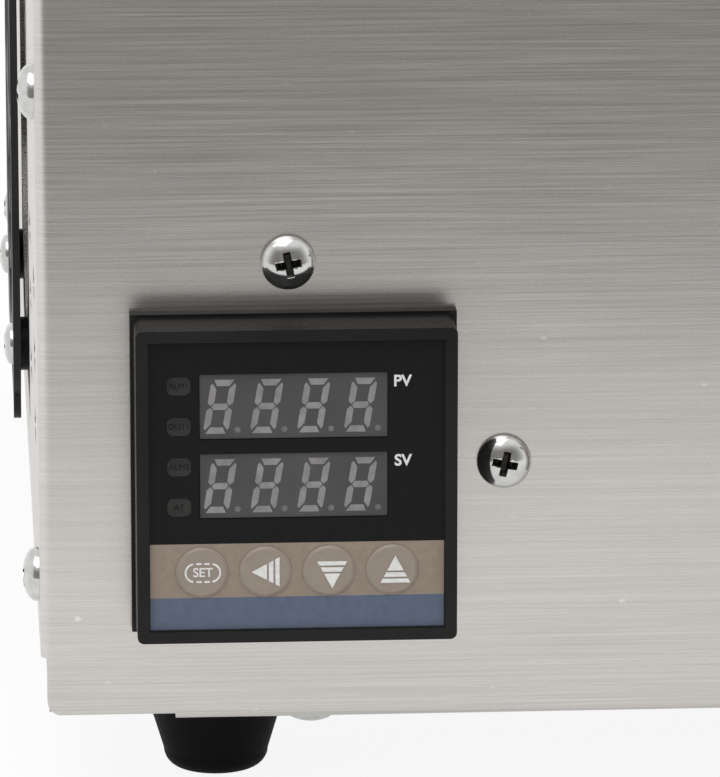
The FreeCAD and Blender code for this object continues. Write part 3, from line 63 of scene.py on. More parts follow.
# Casing: front and sides are one folded stainless sheet, with a lid and a back panel of the same sheet.
# The mill brushes the sheet lengthwise, so on the folded walls the hairlines run level all the way round,
# and on the lid they run from side to side.
MM = 0.001
SHEET_STEEL = (0.62, 0.6, 0.58)
SHEET_DARK = (0.535, 0.51, 0.485)
SHEET_LIGHT = (0.685, 0.66, 0.635)
FLECK_TONE = (0.8, 0.78, 0.76)
FLECK_GRAINS = (420, 420, 700)
# Pale tone and its share painted onto walls that face sideways: a painted sheen for the bright surround
# they mirror, not a colour of the steel.
SIDE_PAINTED_SHEEN = (0.86, 0.85, 0.84)
SIDE_PAINTED_SHEEN_SHARE = 0.3
FRONT_ROUGHNESS = 0.26
SIDE_ROUGHNESS = 0.52
HAIRLINE_ROUGHNESS = 0.18
BRUSH_DEPTH = 0.02 * MM


def finish(name, colour, roughness, metallic=0.0, gloss=0.5):
    """A new surface with its plain colour and gloss."""
    made = bpy.data.materials.new(name)
    made.use_nodes = True
    shader = made.node_tree.nodes["Principled BSDF"]
    shader.inputs["Base Color"].default_value = (*colour, 1)
    shader.inputs["Roughness"].default_value = roughness
    shader.inputs["Metallic"].default_value = metallic
    shader.inputs["Specular IOR Level"].default_value = gloss
    return made


def pattern(made, stretch, detail=3.0):
    """Noise at the piece's own place, with so many grains to the metre along each axis."""
    tree = made.node_tree
    place = tree.nodes.new("ShaderNodeTexCoord")
    scale = tree.nodes.new("ShaderNodeMapping")
    scale.inputs["Scale"].default_value = stretch
    noise = tree.nodes.new("ShaderNodeTexNoise")
    noise.inputs["Scale"].default_value = 1.0
    noise.inputs["Detail"].default_value = detail
    tree.links.new(place.outputs["Object"], scale.inputs["Vector"])
    tree.links.new(scale.outputs["Vector"], noise.inputs["Vector"])
    return noise.outputs["Fac"]


def ranged(tree, value, spread, low=0.0, high=1.0, soft=False):
    """Carry a value's spread over to a new range."""
    node = tree.nodes.new("ShaderNodeMapRange")
    if soft:
        node.interpolation_type = "SMOOTHSTEP"
    node.inputs["From Min"].default_value, node.inputs["From Max"].default_value = spread
    node.inputs["To Min"].default_value = low
    node.inputs["To Max"].default_value = high
    tree.links.new(value, node.inputs["Value"])
    return node.outputs["Result"]


def vary(made, noise, socket, low, high, spread=(0.3, 0.7)):
    """Let a pattern carry one number of the shader between two values."""
    tree = made.node_tree
    tree.links.new(ranged(tree, noise, spread, low, high), tree.nodes["Principled BSDF"].inputs[socket])


def tint(made, noise, dark, light, spread=(0.3, 0.7)):
    """Let a pattern carry the colour between a dark and a light one. Gives the colour's socket."""
    tree = made.node_tree
    ramp = tree.nodes.new("ShaderNodeValToRGB")
    ramp.color_ramp.elements[0].position, ramp.color_ramp.elements[1].position = spread
    ramp.color_ramp.elements[0].color = (*dark, 1)
    ramp.color_ramp.elements[1].color = (*light, 1)
    tree.links.new(noise, ramp.inputs["Fac"])
    tree.links.new(ramp.outputs["Color"], tree.nodes["Principled BSDF"].inputs["Base Color"])
    return ramp.outputs["Color"]


def dent(made, noise, strength, distance):
    """Let a pattern roughen the surface."""
    tree = made.node_tree
    bump = tree.nodes.new("ShaderNodeBump")
    bump.inputs["Strength"].default_value = strength
    bump.inputs["Distance"].default_value = distance
    tree.links.new(noise, bump.inputs["Height"])
    tree.links.new(bump.outputs["Normal"], tree.nodes["Principled BSDF"].inputs["Normal"])


def dress(made, *nodes):
    """Give pieces that keep their solid shape a surface."""
    for name in nodes:
        surfaces = frame["nodes"][name].data.materials
        surfaces.clear()
        surfaces.append(made)


def blend_patterns(made, first, second, share):
    """One pattern out of two, with a share of the second."""
    tree = made.node_tree
    mix = tree.nodes.new("ShaderNodeMix")
    mix.inputs["Factor"].default_value = share
    tree.links.new(first, mix.inputs["A"])
    tree.links.new(second, mix.inputs["B"])
    return mix.outputs["Result"]


def reckon(tree, operation, *terms):
    """One sum of sockets and plain numbers."""
    node = tree.nodes.new("ShaderNodeMath")
    node.operation = operation
    for socket, term in zip(node.inputs, terms):
        if isinstance(term, float):
            socket.default_value = term
        else:
            tree.links.new(term, socket)
    return node.outputs[0]


def toned(tree, share, colour, tone):
    """A colour's socket with a share of a plain tone laid over it."""
    mix = tree.nodes.new("ShaderNodeMix")
    mix.data_type = "RGBA"
    mix.inputs[7].default_value = (*tone, 1)
    tree.links.new(share, mix.inputs[0])
    tree.links.new(colour, mix.inputs[6])
    return mix.outputs[2]


def brushed_sheet(name, along, across, wide):
    """Stainless sheet with hairlines: few grains to the metre along them, many across, and its sideways
    walls painted paler as a painted sheen.
    """
    made = finish(name, SHEET_STEEL, FRONT_ROUGHNESS, 1.0)
    hairlines = pattern(made, across, 2.0)
    bands = pattern(made, wide, 2.0)
    clouds = pattern(made, along, 2.0)
    grain = blend_patterns(made, hairlines, bands, 0.25)
    grain = blend_patterns(made, grain, clouds, 0.2)
    streaks = tint(made, grain, SHEET_DARK, SHEET_LIGHT, (0.36, 0.64))
    dent(made, hairlines, 0.1, BRUSH_DEPTH)
    tree = made.node_tree
    shader = tree.nodes["Principled BSDF"]
    facing = tree.nodes.new("ShaderNodeNewGeometry")
    axes = tree.nodes.new("ShaderNodeSeparateXYZ")
    tree.links.new(facing.outputs["True Normal"], axes.inputs[0])
    side = reckon(tree, "MULTIPLY", axes.outputs["X"], axes.outputs["X"])
    haze = ranged(tree, side, (0, 1), FRONT_ROUGHNESS, SIDE_ROUGHNESS)
    haze = reckon(tree, "SUBTRACT", haze, HAIRLINE_ROUGHNESS / 2)
    worn = reckon(tree, "MULTIPLY_ADD", hairlines, HAIRLINE_ROUGHNESS, haze)
    tree.links.new(worn, shader.inputs["Roughness"])
    flecks = ranged(tree, pattern(made, FLECK_GRAINS, 0.0), (0.8, 0.95))
    flecked = toned(tree, flecks, streaks, FLECK_TONE)
    # Walls facing sideways get a share of the pale tone laid over their colour: painted sheen.
    painted_side_sheen = reckon(tree, "MULTIPLY", side, SIDE_PAINTED_SHEEN_SHARE)
    tree.links.new(toned(tree, painted_side_sheen, flecked, SIDE_PAINTED_SHEEN), shader.inputs["Base Color"])
    return made


wall_sheet = brushed_sheet("brushed_wall_sheet", (18, 18, 40), (34, 34, 5200), (14, 14, 1900))
lid_sheet = brushed_sheet("brushed_lid_sheet", (18, 40, 18), (34, 5200, 34), (14, 1900, 14))
dress(wall_sheet, "casing_wrap", "back_panel")
dress(lid_sheet, "top_lid")

# Base pan and the bent screen beside the controller: zinc-plated sheet, screwed to the casing.
# Zinc shows the large pale crystals that it freezes in.
zinc_sheet = finish("zinc_sheet", (0.45, 0.46, 0.47), 0.42, 1.0)
spangle = pattern(zinc_sheet, (140, 140, 140), 1.0)
tint(zinc_sheet, spangle, (0.38, 0.39, 0.4), (0.56, 0.57, 0.58))
vary(zinc_sheet, spangle, "Roughness", 0.34, 0.52)
dress(zinc_sheet, "base_pan", "controller_screen")

# Feet: four tapered mouldings of black rubber, each held by a screw in its well.
# The rubber is matt, a little dusty, and slightly rough from its mould.
foot_rubber = finish("foot_rubber", (0.004, 0.004, 0.004), 0.62, gloss=0.08)
mould_grain = pattern(foot_rubber, (1500, 1500, 1500), 4.0)
tint(foot_rubber, mould_grain, (0.003, 0.003, 0.003), (0.008, 0.008, 0.008))
vary(foot_rubber, mould_grain, "Roughness", 0.52, 0.7)
dent(foot_rubber, mould_grain, 0.25, 0.05 * MM)
dress(foot_rubber, "rubber_feet")

# Pan-head screws: turned steel, bright plated, with a cross pressed into the dome.
# One is modelled and copied to every place where the casing is held together.
HEAD_RADIUS = 4.05 * MM
HEAD_HEIGHT = 2.5 * MM
HEAD_EDGE = 0.45 * MM
HEAD_SIDES = 64
DOME_STEPS = 9
DOME_SWEEP = math.radians(87.3)
CROSS_REACH = 2.8 * MM
CROSS_WIDTH = 1.45 * MM
CROSS_DEPTH = 1.5 * MM
CROSS_TAPER = (0.45, 0.6, 1)
CROSS_EASE = 0.09 * MM


def begin(name, add, **options):
    """Start a piece from a primitive, alone selected and open for shaping."""
    bpy.ops.object.select_all(action="DESELECT")
    add(**options)
    piece = bpy.context.object
    piece.name = name
    bpy.ops.object.transform_apply(location=True, rotation=True, scale=True)
    bpy.ops.object.mode_set(mode="EDIT")
    bpy.ops.mesh.select_mode(type="FACE")
    return piece


def pick(piece, wanted):
    """Select the faces whose middle and normal are wanted."""
    bpy.ops.mesh.select_all(action="DESELECT")
    mesh = bmesh.from_edit_mesh(piece.data)
    for face in mesh.faces:
        face.select_set(wanted(face.calc_center_median(), face.normal))
    bmesh.update_edit_mesh(piece.data)


def close(piece, smooth=35):
    """Leave edit mode and shade the piece round where its faces meet at a low angle."""
    bpy.ops.object.mode_set(mode="OBJECT")
    bpy.ops.object.select_all(action="DESELECT")
    piece.select_set(True)
    bpy.context.view_layer.objects.active = piece
    bpy.ops.object.shade_smooth_by_angle(angle=math.radians(smooth))


def ease(piece, width, segments=2, angle=40):
    """Round the sharp edges of a piece."""
    bevel = piece.modifiers.new("eased_edges", "BEVEL")
    bevel.width = width
    bevel.segments = segments
    bevel.limit_method = "ANGLE"
    bevel.angle_limit = math.radians(angle)
    bpy.context.view_layer.objects.active = piece
    bpy.ops.object.modifier_apply(modifier=bevel.name)


def carve(piece, tool):
    """Cut a tool's shape out of a piece."""
    cutter = piece.modifiers.new("recess", "BOOLEAN")
    cutter.object = tool
    cutter.operation = "DIFFERENCE"
    cutter.solver = "EXACT"
    bpy.context.view_layer.objects.active = piece
    bpy.ops.object.modifier_apply(modifier=cutter.name)
    bpy.data.objects.remove(tool)


def crown(radius, height, steps):
    """Raise the selected round top face into a dome."""
    for step in range(1, steps + 1):
        before, now = (DOME_SWEEP * done / steps for done in (step - 1, step))
        bpy.ops.mesh.inset(
            thickness=radius * (math.cos(before) - math.cos(now)),
            depth=height * (math.sin(now) - math.sin(before)))


bright_plating = finish("bright_plating", (0.6, 0.6, 0.59), 0.09, 1.0)
handling = pattern(bright_plating, (600, 600, 600), 3.0)
tint(bright_plating, handling, (0.52, 0.52, 0.51), (0.66, 0.66, 0.65))
vary(bright_plating, handling, "Roughness", 0.06, 0.16)
# The cross recess gets a near black surface of its own, with a faint brown mottle: painted shade standing
# in for the shade deep in the cross.
recess_painted_shade = finish("recess_painted_shade", (0.03, 0.027, 0.024), 0.5, 0.6)
shade_mottle = pattern(recess_painted_shade, (2500, 2500, 2500))
tint(recess_painted_shade, shade_mottle, (0.012, 0.011, 0.01), (0.075, 0.068, 0.06))

screw_head = begin("screw_head", bpy.ops.mesh.primitive_cylinder_add, vertices=HEAD_SIDES,
                   radius=HEAD_RADIUS, depth=HEAD_EDGE, location=(0, 0, HEAD_EDGE / 2))
pick(screw_head, lambda middle, normal: normal.z > 0.9)
crown(HEAD_RADIUS, HEAD_HEIGHT - HEAD_EDGE, DOME_STEPS)
close(screw_head)
for surface in (bright_plating, recess_painted_shade):
    screw_head.data.materials.append(surface)
for quarter in (0, 90):
    wing = begin("cross_wing", bpy.ops.mesh.primitive_cube_add, size=1,
                 scale=(2 * CROSS_REACH, CROSS_WIDTH, 2 * CROSS_DEPTH), location=(0, 0, HEAD_HEIGHT))
    pick(wing, lambda middle, normal: normal.z < -0.9)
    bpy.ops.transform.resize(value=CROSS_TAPER)
    bpy.ops.mesh.select_all(action="SELECT")
    bpy.ops.transform.rotate(value=math.radians(quarter), orient_axis="Z", center_override=(0, 0, 0))
    close(wing)
    for surface in (bright_plating, recess_painted_shade):
        wing.data.materials.append(surface)
    # The cut faces of the cross take the second surface, the painted shade.
    for face in wing.data.polygons:
        face.material_index = 1
    carve(screw_head, wing)
ease(screw_head, CROSS_EASE, 2, 35)
close(screw_head)


def join_up(name, pieces):
    """Make several like pieces one."""
    bpy.ops.object.select_all(action="DESELECT")
    for piece in pieces:
        piece.select_set(True)
    bpy.context.view_layer.objects.active = pieces[0]
    bpy.ops.object.join()
    pieces[0].name = name
    return pieces[0]


FACING = {
    "front": Matrix.Rotation(math.radians(90), 4, "X"),
    "back": Matrix.Rotation(math.radians(-90), 4, "X"),
    "left": Matrix.Rotation(math.radians(-90), 4, "Y"),
    "right": Matrix.Rotation(math.radians(90), 4, "Y"),
    "down": Matrix.Rotation(math.radians(180), 4, "X"),
}


def screw_set(name, node, seats, size=(1.0, 1.0)):
    """Copies of the screw at seats of (place, way it faces, turn of its cross), joined as one set."""
    copies = []
    for place, facing, turn in seats:
        copy = screw_head.copy()
        copy.data = screw_head.data.copy()
        bpy.context.scene.collection.objects.link(copy)
        spin = Matrix.Rotation(math.radians(turn), 4, "Z")
        scale = Matrix.Diagonal((size[0], size[0], size[1], 1))
        copy.data.transform(Matrix.Translation(place) @ FACING[facing] @ spin @ scale)
        copies.append(copy)
    heads = join_up(name, copies)
    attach(heads, "casing")
    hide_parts(node)


def head_places(node, radius=HEAD_RADIUS):
    """The lowest and highest head middles of a node's screws."""
    low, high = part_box(node)
    inset = Vector((radius, radius, radius))
    return low + inset, high - inset


wall_low, wall_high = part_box("casing_wrap")
TOP_TURN, RIGHT_TURN = 10, -12
SIDE_TURNS = (25, 70, 40, 5, 60, 15, 80, 35)
BASE_TURN = 30
BACK_TURN = 50
low, high = head_places("front_screws")
screw_set("front_screw_heads", "front_screws", [
    (Vector((low.x, wall_low.y, high.z)), "front", TOP_TURN),
    (Vector((high.x, wall_low.y, low.z)), "front", RIGHT_TURN),
])
low, high = head_places("side_screws")
side_seats = []
for x, facing in ((wall_low.x, "left"), (wall_high.x, "right")):
    for y in (low.y, high.y):
        for z in (low.z, high.z):
            side_seats.append((Vector((x, y, z)), facing, SIDE_TURNS[len(side_seats)]))
screw_set("side_screw_heads", "side_screws", side_seats)
low, high = head_places("base_screws")
screw_set("base_screw_heads", "base_screws", [
    (Vector((x, (low.y + high.y) / 2, wall_low.z)), "down", BASE_TURN)
    for x in (low.x, (low.x + high.x) / 2, high.x)
])
low, high = head_places("back_screws")
back_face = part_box("back_panel")[1].y
screw_set("back_screw_heads", "back_screws", [
    (Vector((x, back_face, z)), "back", BACK_TURN * x / high.x)
    for x in (low.x, high.x) for z in (low.z, high.z)
])
dress(bright_plating, "foot_screws", "handle_screws")

# Controller case: one black moulding pushed through the panel, with a flange against the sheet and a deep
# hood round the fascia. A clamp ring holds it from behind, and its wires end in a terminal block.
case_low, case_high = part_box("controller_case")
controller = (case_low + case_high) / 2
fascia_low, fascia_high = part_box("controller_fascia")
panel_face = wall_low.y
FLANGE_REACH = 2 * MM
HOOD_INSET = 0.55 * MM
HOUSING_INSET = 1.15 * MM
HOOD_CORNER = 0.95 * MM
RIM_WIDTH = 1.75 * MM
POCKET_STEP = 0.5 * MM
POCKET_DRAFT = 0.15 * MM
CASE_EASE = 0.28 * MM
CORNER_STEPS = 4
NEAR = 0.01 * MM


def settle(piece, made, body, slot, *stood_for):
    """Finish a piece: its surface, what it rides on, and the solid that it stands for."""
    piece.data.materials.clear()
    piece.data.materials.append(made)
    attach(piece, body)
    if stood_for:
        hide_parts(*stood_for)


def moulded_plastic(name, dark, light, roughness, grains=2200, strength=0.18):
    """Moulded plastic with the fine grain of its tool."""
    made = finish(name, dark, roughness, gloss=0.2)
    grain = pattern(made, (grains, grains, grains), 3.0)
    wear = pattern(made, (60, 60, 60), 4.0)
    tint(made, wear, dark, light)
    vary(made, grain, "Roughness", roughness - 0.07, roughness + 0.09)
    dent(made, grain, strength, 0.03 * MM)
    return made


case_plastic = moulded_plastic(
    "case_plastic", (0.007, 0.0067, 0.0065), (0.013, 0.0125, 0.0122), 0.36)
flange_size = case_high.x - case_low.x
bezel = begin("controller_bezel", bpy.ops.mesh.primitive_cube_add, size=1,
              scale=(flange_size, FLANGE_REACH, flange_size),
              location=(controller.x, panel_face - FLANGE_REACH / 2, controller.z))
pick(bezel, lambda middle, normal: normal.y < -0.9)
bpy.ops.mesh.inset(thickness=HOOD_INSET)
bpy.ops.mesh.extrude_region_move(
    TRANSFORM_OT_translate={"value": (0, case_low.y - panel_face + FLANGE_REACH, 0)})
bpy.ops.mesh.inset(thickness=RIM_WIDTH)
bpy.ops.mesh.extrude_region_move(TRANSFORM_OT_translate={"value": (0, POCKET_STEP, 0)})
bpy.ops.mesh.inset(thickness=POCKET_DRAFT)
bpy.ops.mesh.extrude_region_move(
    TRANSFORM_OT_translate={"value": (0, case_high.y - case_low.y - 3 * POCKET_STEP, 0)})
pick(bezel, lambda middle, normal: normal.y > 0.9 and middle.y > panel_face - MM)
bpy.ops.mesh.inset(thickness=HOUSING_INSET + HOOD_INSET)
bpy.ops.mesh.extrude_region_move(TRANSFORM_OT_translate={"value": (0, case_high.y - panel_face, 0)})
bpy.ops.mesh.select_all(action="DESELECT")
bpy.ops.mesh.select_mode(type="EDGE")
hood_half = flange_size / 2 - HOOD_INSET
bezel_mesh = bmesh.from_edit_mesh(bezel.data)
for edge in bezel_mesh.edges:
    ends = [corner.co - controller for corner in edge.verts]
    on_corner = all(abs(abs(end[axis]) - hood_half) < NEAR for end in ends for axis in (0, 2))
    edge.select_set(on_corner and abs(ends[0].y - ends[1].y) > MM)
bmesh.update_edit_mesh(bezel.data)
bpy.ops.mesh.bevel(offset=HOOD_CORNER, segments=CORNER_STEPS)
bpy.ops.mesh.select_mode(type="FACE")
close(bezel)
ease(bezel, CASE_EASE, 3)
close(bezel)
settle(bezel, case_plastic, "casing", "black_housing", "controller_case")
dress(case_plastic, "controller_clamp")
block_plastic = moulded_plastic("block_plastic", (0.016, 0.016, 0.018), (0.03, 0.03, 0.033), 0.48)
dress(block_plastic, "controller_terminals", "key_switches")
solder_mask = finish("solder_mask", (0.02, 0.12, 0.05), 0.3)
tint(solder_mask, pattern(solder_mask, (500, 60, 500)), (0.012, 0.085, 0.035), (0.03, 0.16, 0.07))
dress(solder_mask, "controller_board")

# Fascia: a printed plastic sheet in the hood, black round the displays, tan behind the keys and slate blue
# along its foot. The print is satin, and its edges are straight.
KEY_BAND_TOP = -8.66 * MM
KEY_BAND_FOOT = -16.86 * MM
BAND_BLUE = (0.108, 0.133, 0.19, 1)
BAND_TAN = (0.275, 0.226, 0.182, 1)
BAND_BLACK = (0.0095, 0.0095, 0.0095, 1)
INK_MOTTLE = 0.16
fascia_print = finish("fascia_print", (0.012, 0.012, 0.012), 0.34, gloss=0.1)
tree = fascia_print.node_tree
fascia_place = tree.nodes.new("ShaderNodeTexCoord")
fascia_axes = tree.nodes.new("ShaderNodeSeparateXYZ")
bands = tree.nodes.new("ShaderNodeValToRGB")
bands.color_ramp.interpolation = "CONSTANT"
bands.color_ramp.elements[0].color = BAND_BLUE
fascia_height = fascia_high.z - fascia_low.z
for rise, colour in ((KEY_BAND_FOOT, BAND_TAN), (KEY_BAND_TOP, BAND_BLACK)):
    band = bands.color_ramp.elements.new(0.5 + rise / fascia_height)
    band.color = colour
bands.color_ramp.elements.remove(bands.color_ramp.elements[-1])
ink_grain = pattern(fascia_print, (900, 900, 900), 4.0)
ink = tree.nodes.new("ShaderNodeMix")
ink.data_type = "RGBA"
ink.blend_type = "OVERLAY"
ink.inputs[0].default_value = INK_MOTTLE
tree.links.new(fascia_place.outputs["Object"], fascia_axes.inputs["Vector"])
fascia_share = ranged(tree, fascia_axes.outputs["Z"], (fascia_low.z, fascia_high.z))
tree.links.new(fascia_share, bands.inputs["Fac"])
tree.links.new(bands.outputs["Color"], ink.inputs[6])
tree.links.new(ink_grain, ink.inputs[7])
tree.links.new(ink.outputs[2], tree.nodes["Principled BSDF"].inputs["Base Color"])
vary(fascia_print, ink_grain, "Roughness", 0.3, 0.42)
dress(fascia_print, "controller_fascia")

# Displays: two smoked windows with four unlit digits each. The digits lean to the right, and each has seven
# grey bars and a point, cast into the display's face.
display_filter = finish("display_filter", (0.07, 0.07, 0.072), 0.3, gloss=0.2)
smoke = pattern(display_filter, (90, 90, 90))
tint(display_filter, smoke, (0.06, 0.06, 0.062), (0.082, 0.079, 0.081))
dress(display_filter, "measured_display", "setpoint_display")
DIGIT_COUNT = 4
DIGIT_PITCH = 6.84 * MM
FIRST_DIGIT = -11.2 * MM
MARK_GAUGE = 0.02 * MM
# Outlines of a digit, in millimetres about its own middle.
DIGIT_HALF_WIDTH = 1.86
DIGIT_HALF_HEIGHT = 4.03
DIGIT_LEAN = 0.17
BAR_WIDTH = 0.95
BAR_GAP = 0.15
POINT_PLACE = (2.55, -3.5)
POINT_RADIUS = 0.44
POINT_SIDES = 20


def flat_mark(name, outlines, place, turn=0.0, gauge=MARK_GAUGE):
    """A thin mark cut to outlines in millimetres, standing on the controller's face at a place."""
    bpy.ops.object.select_all(action="DESELECT")
    drawing = bpy.data.curves.new(name, "CURVE")
    drawing.dimensions = "2D"
    drawing.fill_mode = "BOTH"
    drawing.extrude = gauge
    for outline in outlines:
        spline = drawing.splines.new("POLY")
        spline.points.add(len(outline) - 1)
        for point, (u, v) in zip(spline.points, outline):
            point.co = (u * MM, v * MM, 0, 1)
        spline.use_cyclic_u = True
    mark = bpy.data.objects.new(name, drawing)
    bpy.context.scene.collection.objects.link(mark)
    return stand_up(mark, place, turn)


def word(name, letters, height, place, weight=0.0, gauge=MARK_GAUGE):
    """A thin printed word, centred at a place on the controller's face."""
    bpy.ops.object.select_all(action="DESELECT")
    bpy.ops.object.text_add()
    mark = bpy.context.object
    mark.name = name
    mark.data.body = letters
    mark.data.size = height
    mark.data.align_x = "CENTER"
    mark.data.align_y = "CENTER"
    mark.data.extrude = gauge
    mark.data.offset = weight
    return stand_up(mark, place)


def stand_up(mark, place, turn=0.0):
    """Make a flat mark a mesh that faces the front at its place."""
    mark.select_set(True)
    bpy.context.view_layer.objects.active = mark
    bpy.ops.object.convert(target="MESH")
    mark = bpy.context.object
    upright = FACING["front"] @ Matrix.Rotation(math.radians(turn), 4, "Z")
    mark.data.transform(Matrix.Translation(place) @ upright)
    return mark


def digit_outlines():
    """The seven bars of one leaning figure eight, about its own middle."""
    a, b, s = DIGIT_HALF_WIDTH, DIGIT_HALF_HEIGHT, BAR_WIDTH
    level = [(0.4 * s - a, b), (a - 0.4 * s, b), (a - s, b - s), (s - a, b - s)]
    middle = [(BAR_GAP + s / 2 - a, 0), (s - a, s / 2), (a - s, s / 2), (a - s / 2 - BAR_GAP, 0),
              (a - s, -s / 2), (s - a, -s / 2)]
    upright = [(-a, b - 0.85), (0.25 - a, b - 0.55), (s - a, b - 1.45),
               (s - a, 0.65), (s / 2 - a, 0.13), (-a, 0.6)]
    bars = [level, [(u, -v) for u, v in level], middle]
    for flip_u in (1, -1):
        for flip_v in (1, -1):
            bars.append([(flip_u * u, flip_v * v) for u, v in upright])
    return [[(u + DIGIT_LEAN * v, v) for u, v in bar] for bar in bars]


def point_outline():
    """The round point at a digit's lower right."""
    u, v = POINT_PLACE
    turns = [2 * math.pi * side / POINT_SIDES for side in range(POINT_SIDES)]
    return [(u + POINT_RADIUS * math.cos(turn), v + POINT_RADIUS * math.sin(turn)) for turn in turns]


segment_grey = finish("segment_grey", (0.24, 0.235, 0.23), 0.38, gloss=0.2)
tint(segment_grey, pattern(segment_grey, (700, 700, 700)), (0.21, 0.206, 0.202), (0.275, 0.27, 0.265))
point_grey = finish("point_grey", (0.15, 0.147, 0.145), 0.38, gloss=0.2)
tint(point_grey, pattern(point_grey, (700, 700, 700)), (0.13, 0.128, 0.126), (0.17, 0.167, 0.164))
for display in ("measured_display", "setpoint_display"):
    low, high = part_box(display)
    digits, points = [], []
    for column in range(DIGIT_COUNT):
        across = controller.x + FIRST_DIGIT + column * DIGIT_PITCH
        place = Vector((across, low.y, (low.z + high.z) / 2))
        digits.append(flat_mark(f"{display}_digit", digit_outlines(), place))
        points.append(flat_mark(f"{display}_point", [point_outline()], place))
    settle(join_up(display.replace("display", "digits"), digits), segment_grey, "casing", "display_filter")
    settle(join_up(display.replace("display", "points"), points), point_grey, "casing", "display_filter")

white_ink = finish("white_ink", (0.72, 0.72, 0.71), 0.45)
tint(white_ink, pattern(white_ink, (1200, 1200, 1200)), (0.62, 0.62, 0.61), (0.78, 0.78, 0.77))
WORD_HEIGHT = 2.35 * MM
WORD_WEIGHT = 0.06 * MM
WORD_PLACES = {"PV": (15.4 * MM, 15.4 * MM), "SV": (15.5 * MM, 3.5 * MM)}
for letters, (aside, above) in WORD_PLACES.items():
    place = Vector((controller.x + aside, fascia_low.y, controller.z + above))
    mark = word(f"{letters}_mark", letters, WORD_HEIGHT, place, WORD_WEIGHT)
    settle(mark, white_ink, "casing", "black_fascia")

# Indicator lamps: four dark barrel-shaped lenses down the fascia's left side, a hair proud of its face.
# Each has its function in dark ink, which shows only when the lamp behind it is lit.
low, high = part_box("indicator_lamps")
LAMP_SIZE = Vector((3.45, 0.07, 2.7)) * MM
LAMP_ROUNDING = 0.85 * MM
LAMP_CORNER_STEPS = 6
LAMP_RIM = 0.15 * MM
LAMP_CROWN = 0.03 * MM
TOP_LAMP = 15.1 * MM
LAMP_PITCH = 6.05 * MM
LAMP_WORDS = ("ALM1", "OUT1", "ALM2", "AT")
LAMP_WORD_HEIGHT = 1.25 * MM
LAMP_WORD_RISE = 1.5 * LAMP_SIZE.y
lamp_lens = finish("lamp_lens", (0.036, 0.036, 0.034), 0.3, gloss=0.15)
tint(lamp_lens, pattern(lamp_lens, (500, 500, 500)), (0.022, 0.022, 0.021), (0.033, 0.033, 0.031))
lamp_ink = finish("lamp_ink", (0.01, 0.01, 0.011), 0.4, gloss=0.1)
tint(lamp_ink, pattern(lamp_ink, (900, 900, 900)), (0.007, 0.007, 0.008), (0.013, 0.013, 0.014))
dress(lamp_lens, "indicator_lamps")
top_lamp = fascia_low.z + (fascia_high.z - fascia_low.z) / 2 + TOP_LAMP
lenses = []
for index, letters in enumerate(LAMP_WORDS):
    place = Vector(((low.x + high.x) / 2, fascia_low.y, top_lamp - index * LAMP_PITCH))
    lens = begin(f"lens_{index}", bpy.ops.mesh.primitive_cube_add, size=1, scale=LAMP_SIZE,
                 location=place - Vector((0, LAMP_SIZE.y / 2, 0)))
    bpy.ops.mesh.select_all(action="DESELECT")
    bpy.ops.mesh.select_mode(type="EDGE")
    edges = bmesh.from_edit_mesh(lens.data)
    for edge in edges.edges:
        edge.select_set(abs((edge.verts[0].co - edge.verts[1].co).y) > LAMP_SIZE.y / 2)
    bmesh.update_edit_mesh(lens.data)
    bpy.ops.mesh.bevel(offset=LAMP_ROUNDING, segments=LAMP_CORNER_STEPS)
    bpy.ops.mesh.select_mode(type="FACE")
    pick(lens, lambda middle, normal: normal.y < -0.9)
    bpy.ops.mesh.inset(thickness=LAMP_RIM, depth=LAMP_CROWN)
    close(lens)
    lenses.append(lens)
    lens_face = place - Vector((0, LAMP_WORD_RISE, 0))
    mark = word(f"lamp_word_{index}", letters, LAMP_WORD_HEIGHT, lens_face)
    settle(mark, lamp_ink, "casing", "lamp_lens")
settle(join_up("indicator_lenses", lenses), lamp_lens, "casing", "lamp_lens")

# Keys: four round buttons under the tan print, each with a rolled edge, a shallow crown and a white sign.
# Each presses in against its own switch on the board.
KEY_RADIUS = 3.86 * MM
KEY_SIDES = 96
# Inset and rise of each step from the cap's edge to its middle, in millimetres.
KEY_STEPS = ((0.1, 0.0), (0.12, 0.1), (0.16, 0.2), (0.16, 0.06),
             (0.24, -0.04), (0.3, -0.05), (0.6, 0.0), (1.0, 0.01))
# Node, body, the arrow's turn in degrees, and the sign's place aside and above the middle in millimetres.
KEYS = (
    ("key_set", "set_key", None, 0.12, 0.0),
    ("key_shift", "shift_key", 0, 0.0, 0.0),
    ("key_down", "down_key", 90, 0.47, -0.6),
    ("key_up", "up_key", -90, 0.45, 0.1),
)
# Outlines of the signs, in millimetres about their own middle.
SIGN_LENGTH = 4.1
SIGN_HALF_BASE = 2.2
SIGN_SLICES = ((0.0, 2.25), (2.52, 3.2), (3.48, 4.1))
SIGN_GAUGE = 0.05 * MM
SIGN_RISE = 0.33 * MM
SET_HALF_STRAIGHT = 1.18
SET_RADIUS = 1.5
SET_STROKE = 0.28
SET_DASHES = ((-0.95, -0.17), (0.22, 1.0))
SET_WORD_HEIGHT = 1.9 * MM
SET_WORD_WEIGHT = 0.03 * MM
END_START, END_SWEEP, END_STEPS = 100, 160, 14
key_tan = finish("key_tan", (0.275, 0.226, 0.182), 0.38, gloss=0.55)
key_grain = pattern(key_tan, (900, 900, 900), 4.0)
tint(key_tan, key_grain, (0.262, 0.215, 0.172), (0.288, 0.238, 0.192))
vary(key_tan, key_grain, "Roughness", 0.34, 0.42)


def arrow_outlines():
    """A triangle that points left, sliced into a tip and two bars."""
    outlines = []
    for start, end in SIGN_SLICES:
        near, far = (SIGN_HALF_BASE * reach / SIGN_LENGTH for reach in (start, end))
        left, right = start - SIGN_LENGTH / 2, end - SIGN_LENGTH / 2
        point = [(left, near), (left, -near)] if near else [(left, 0)]
        outlines.append(point + [(right, -far), (right, far)])
    return outlines


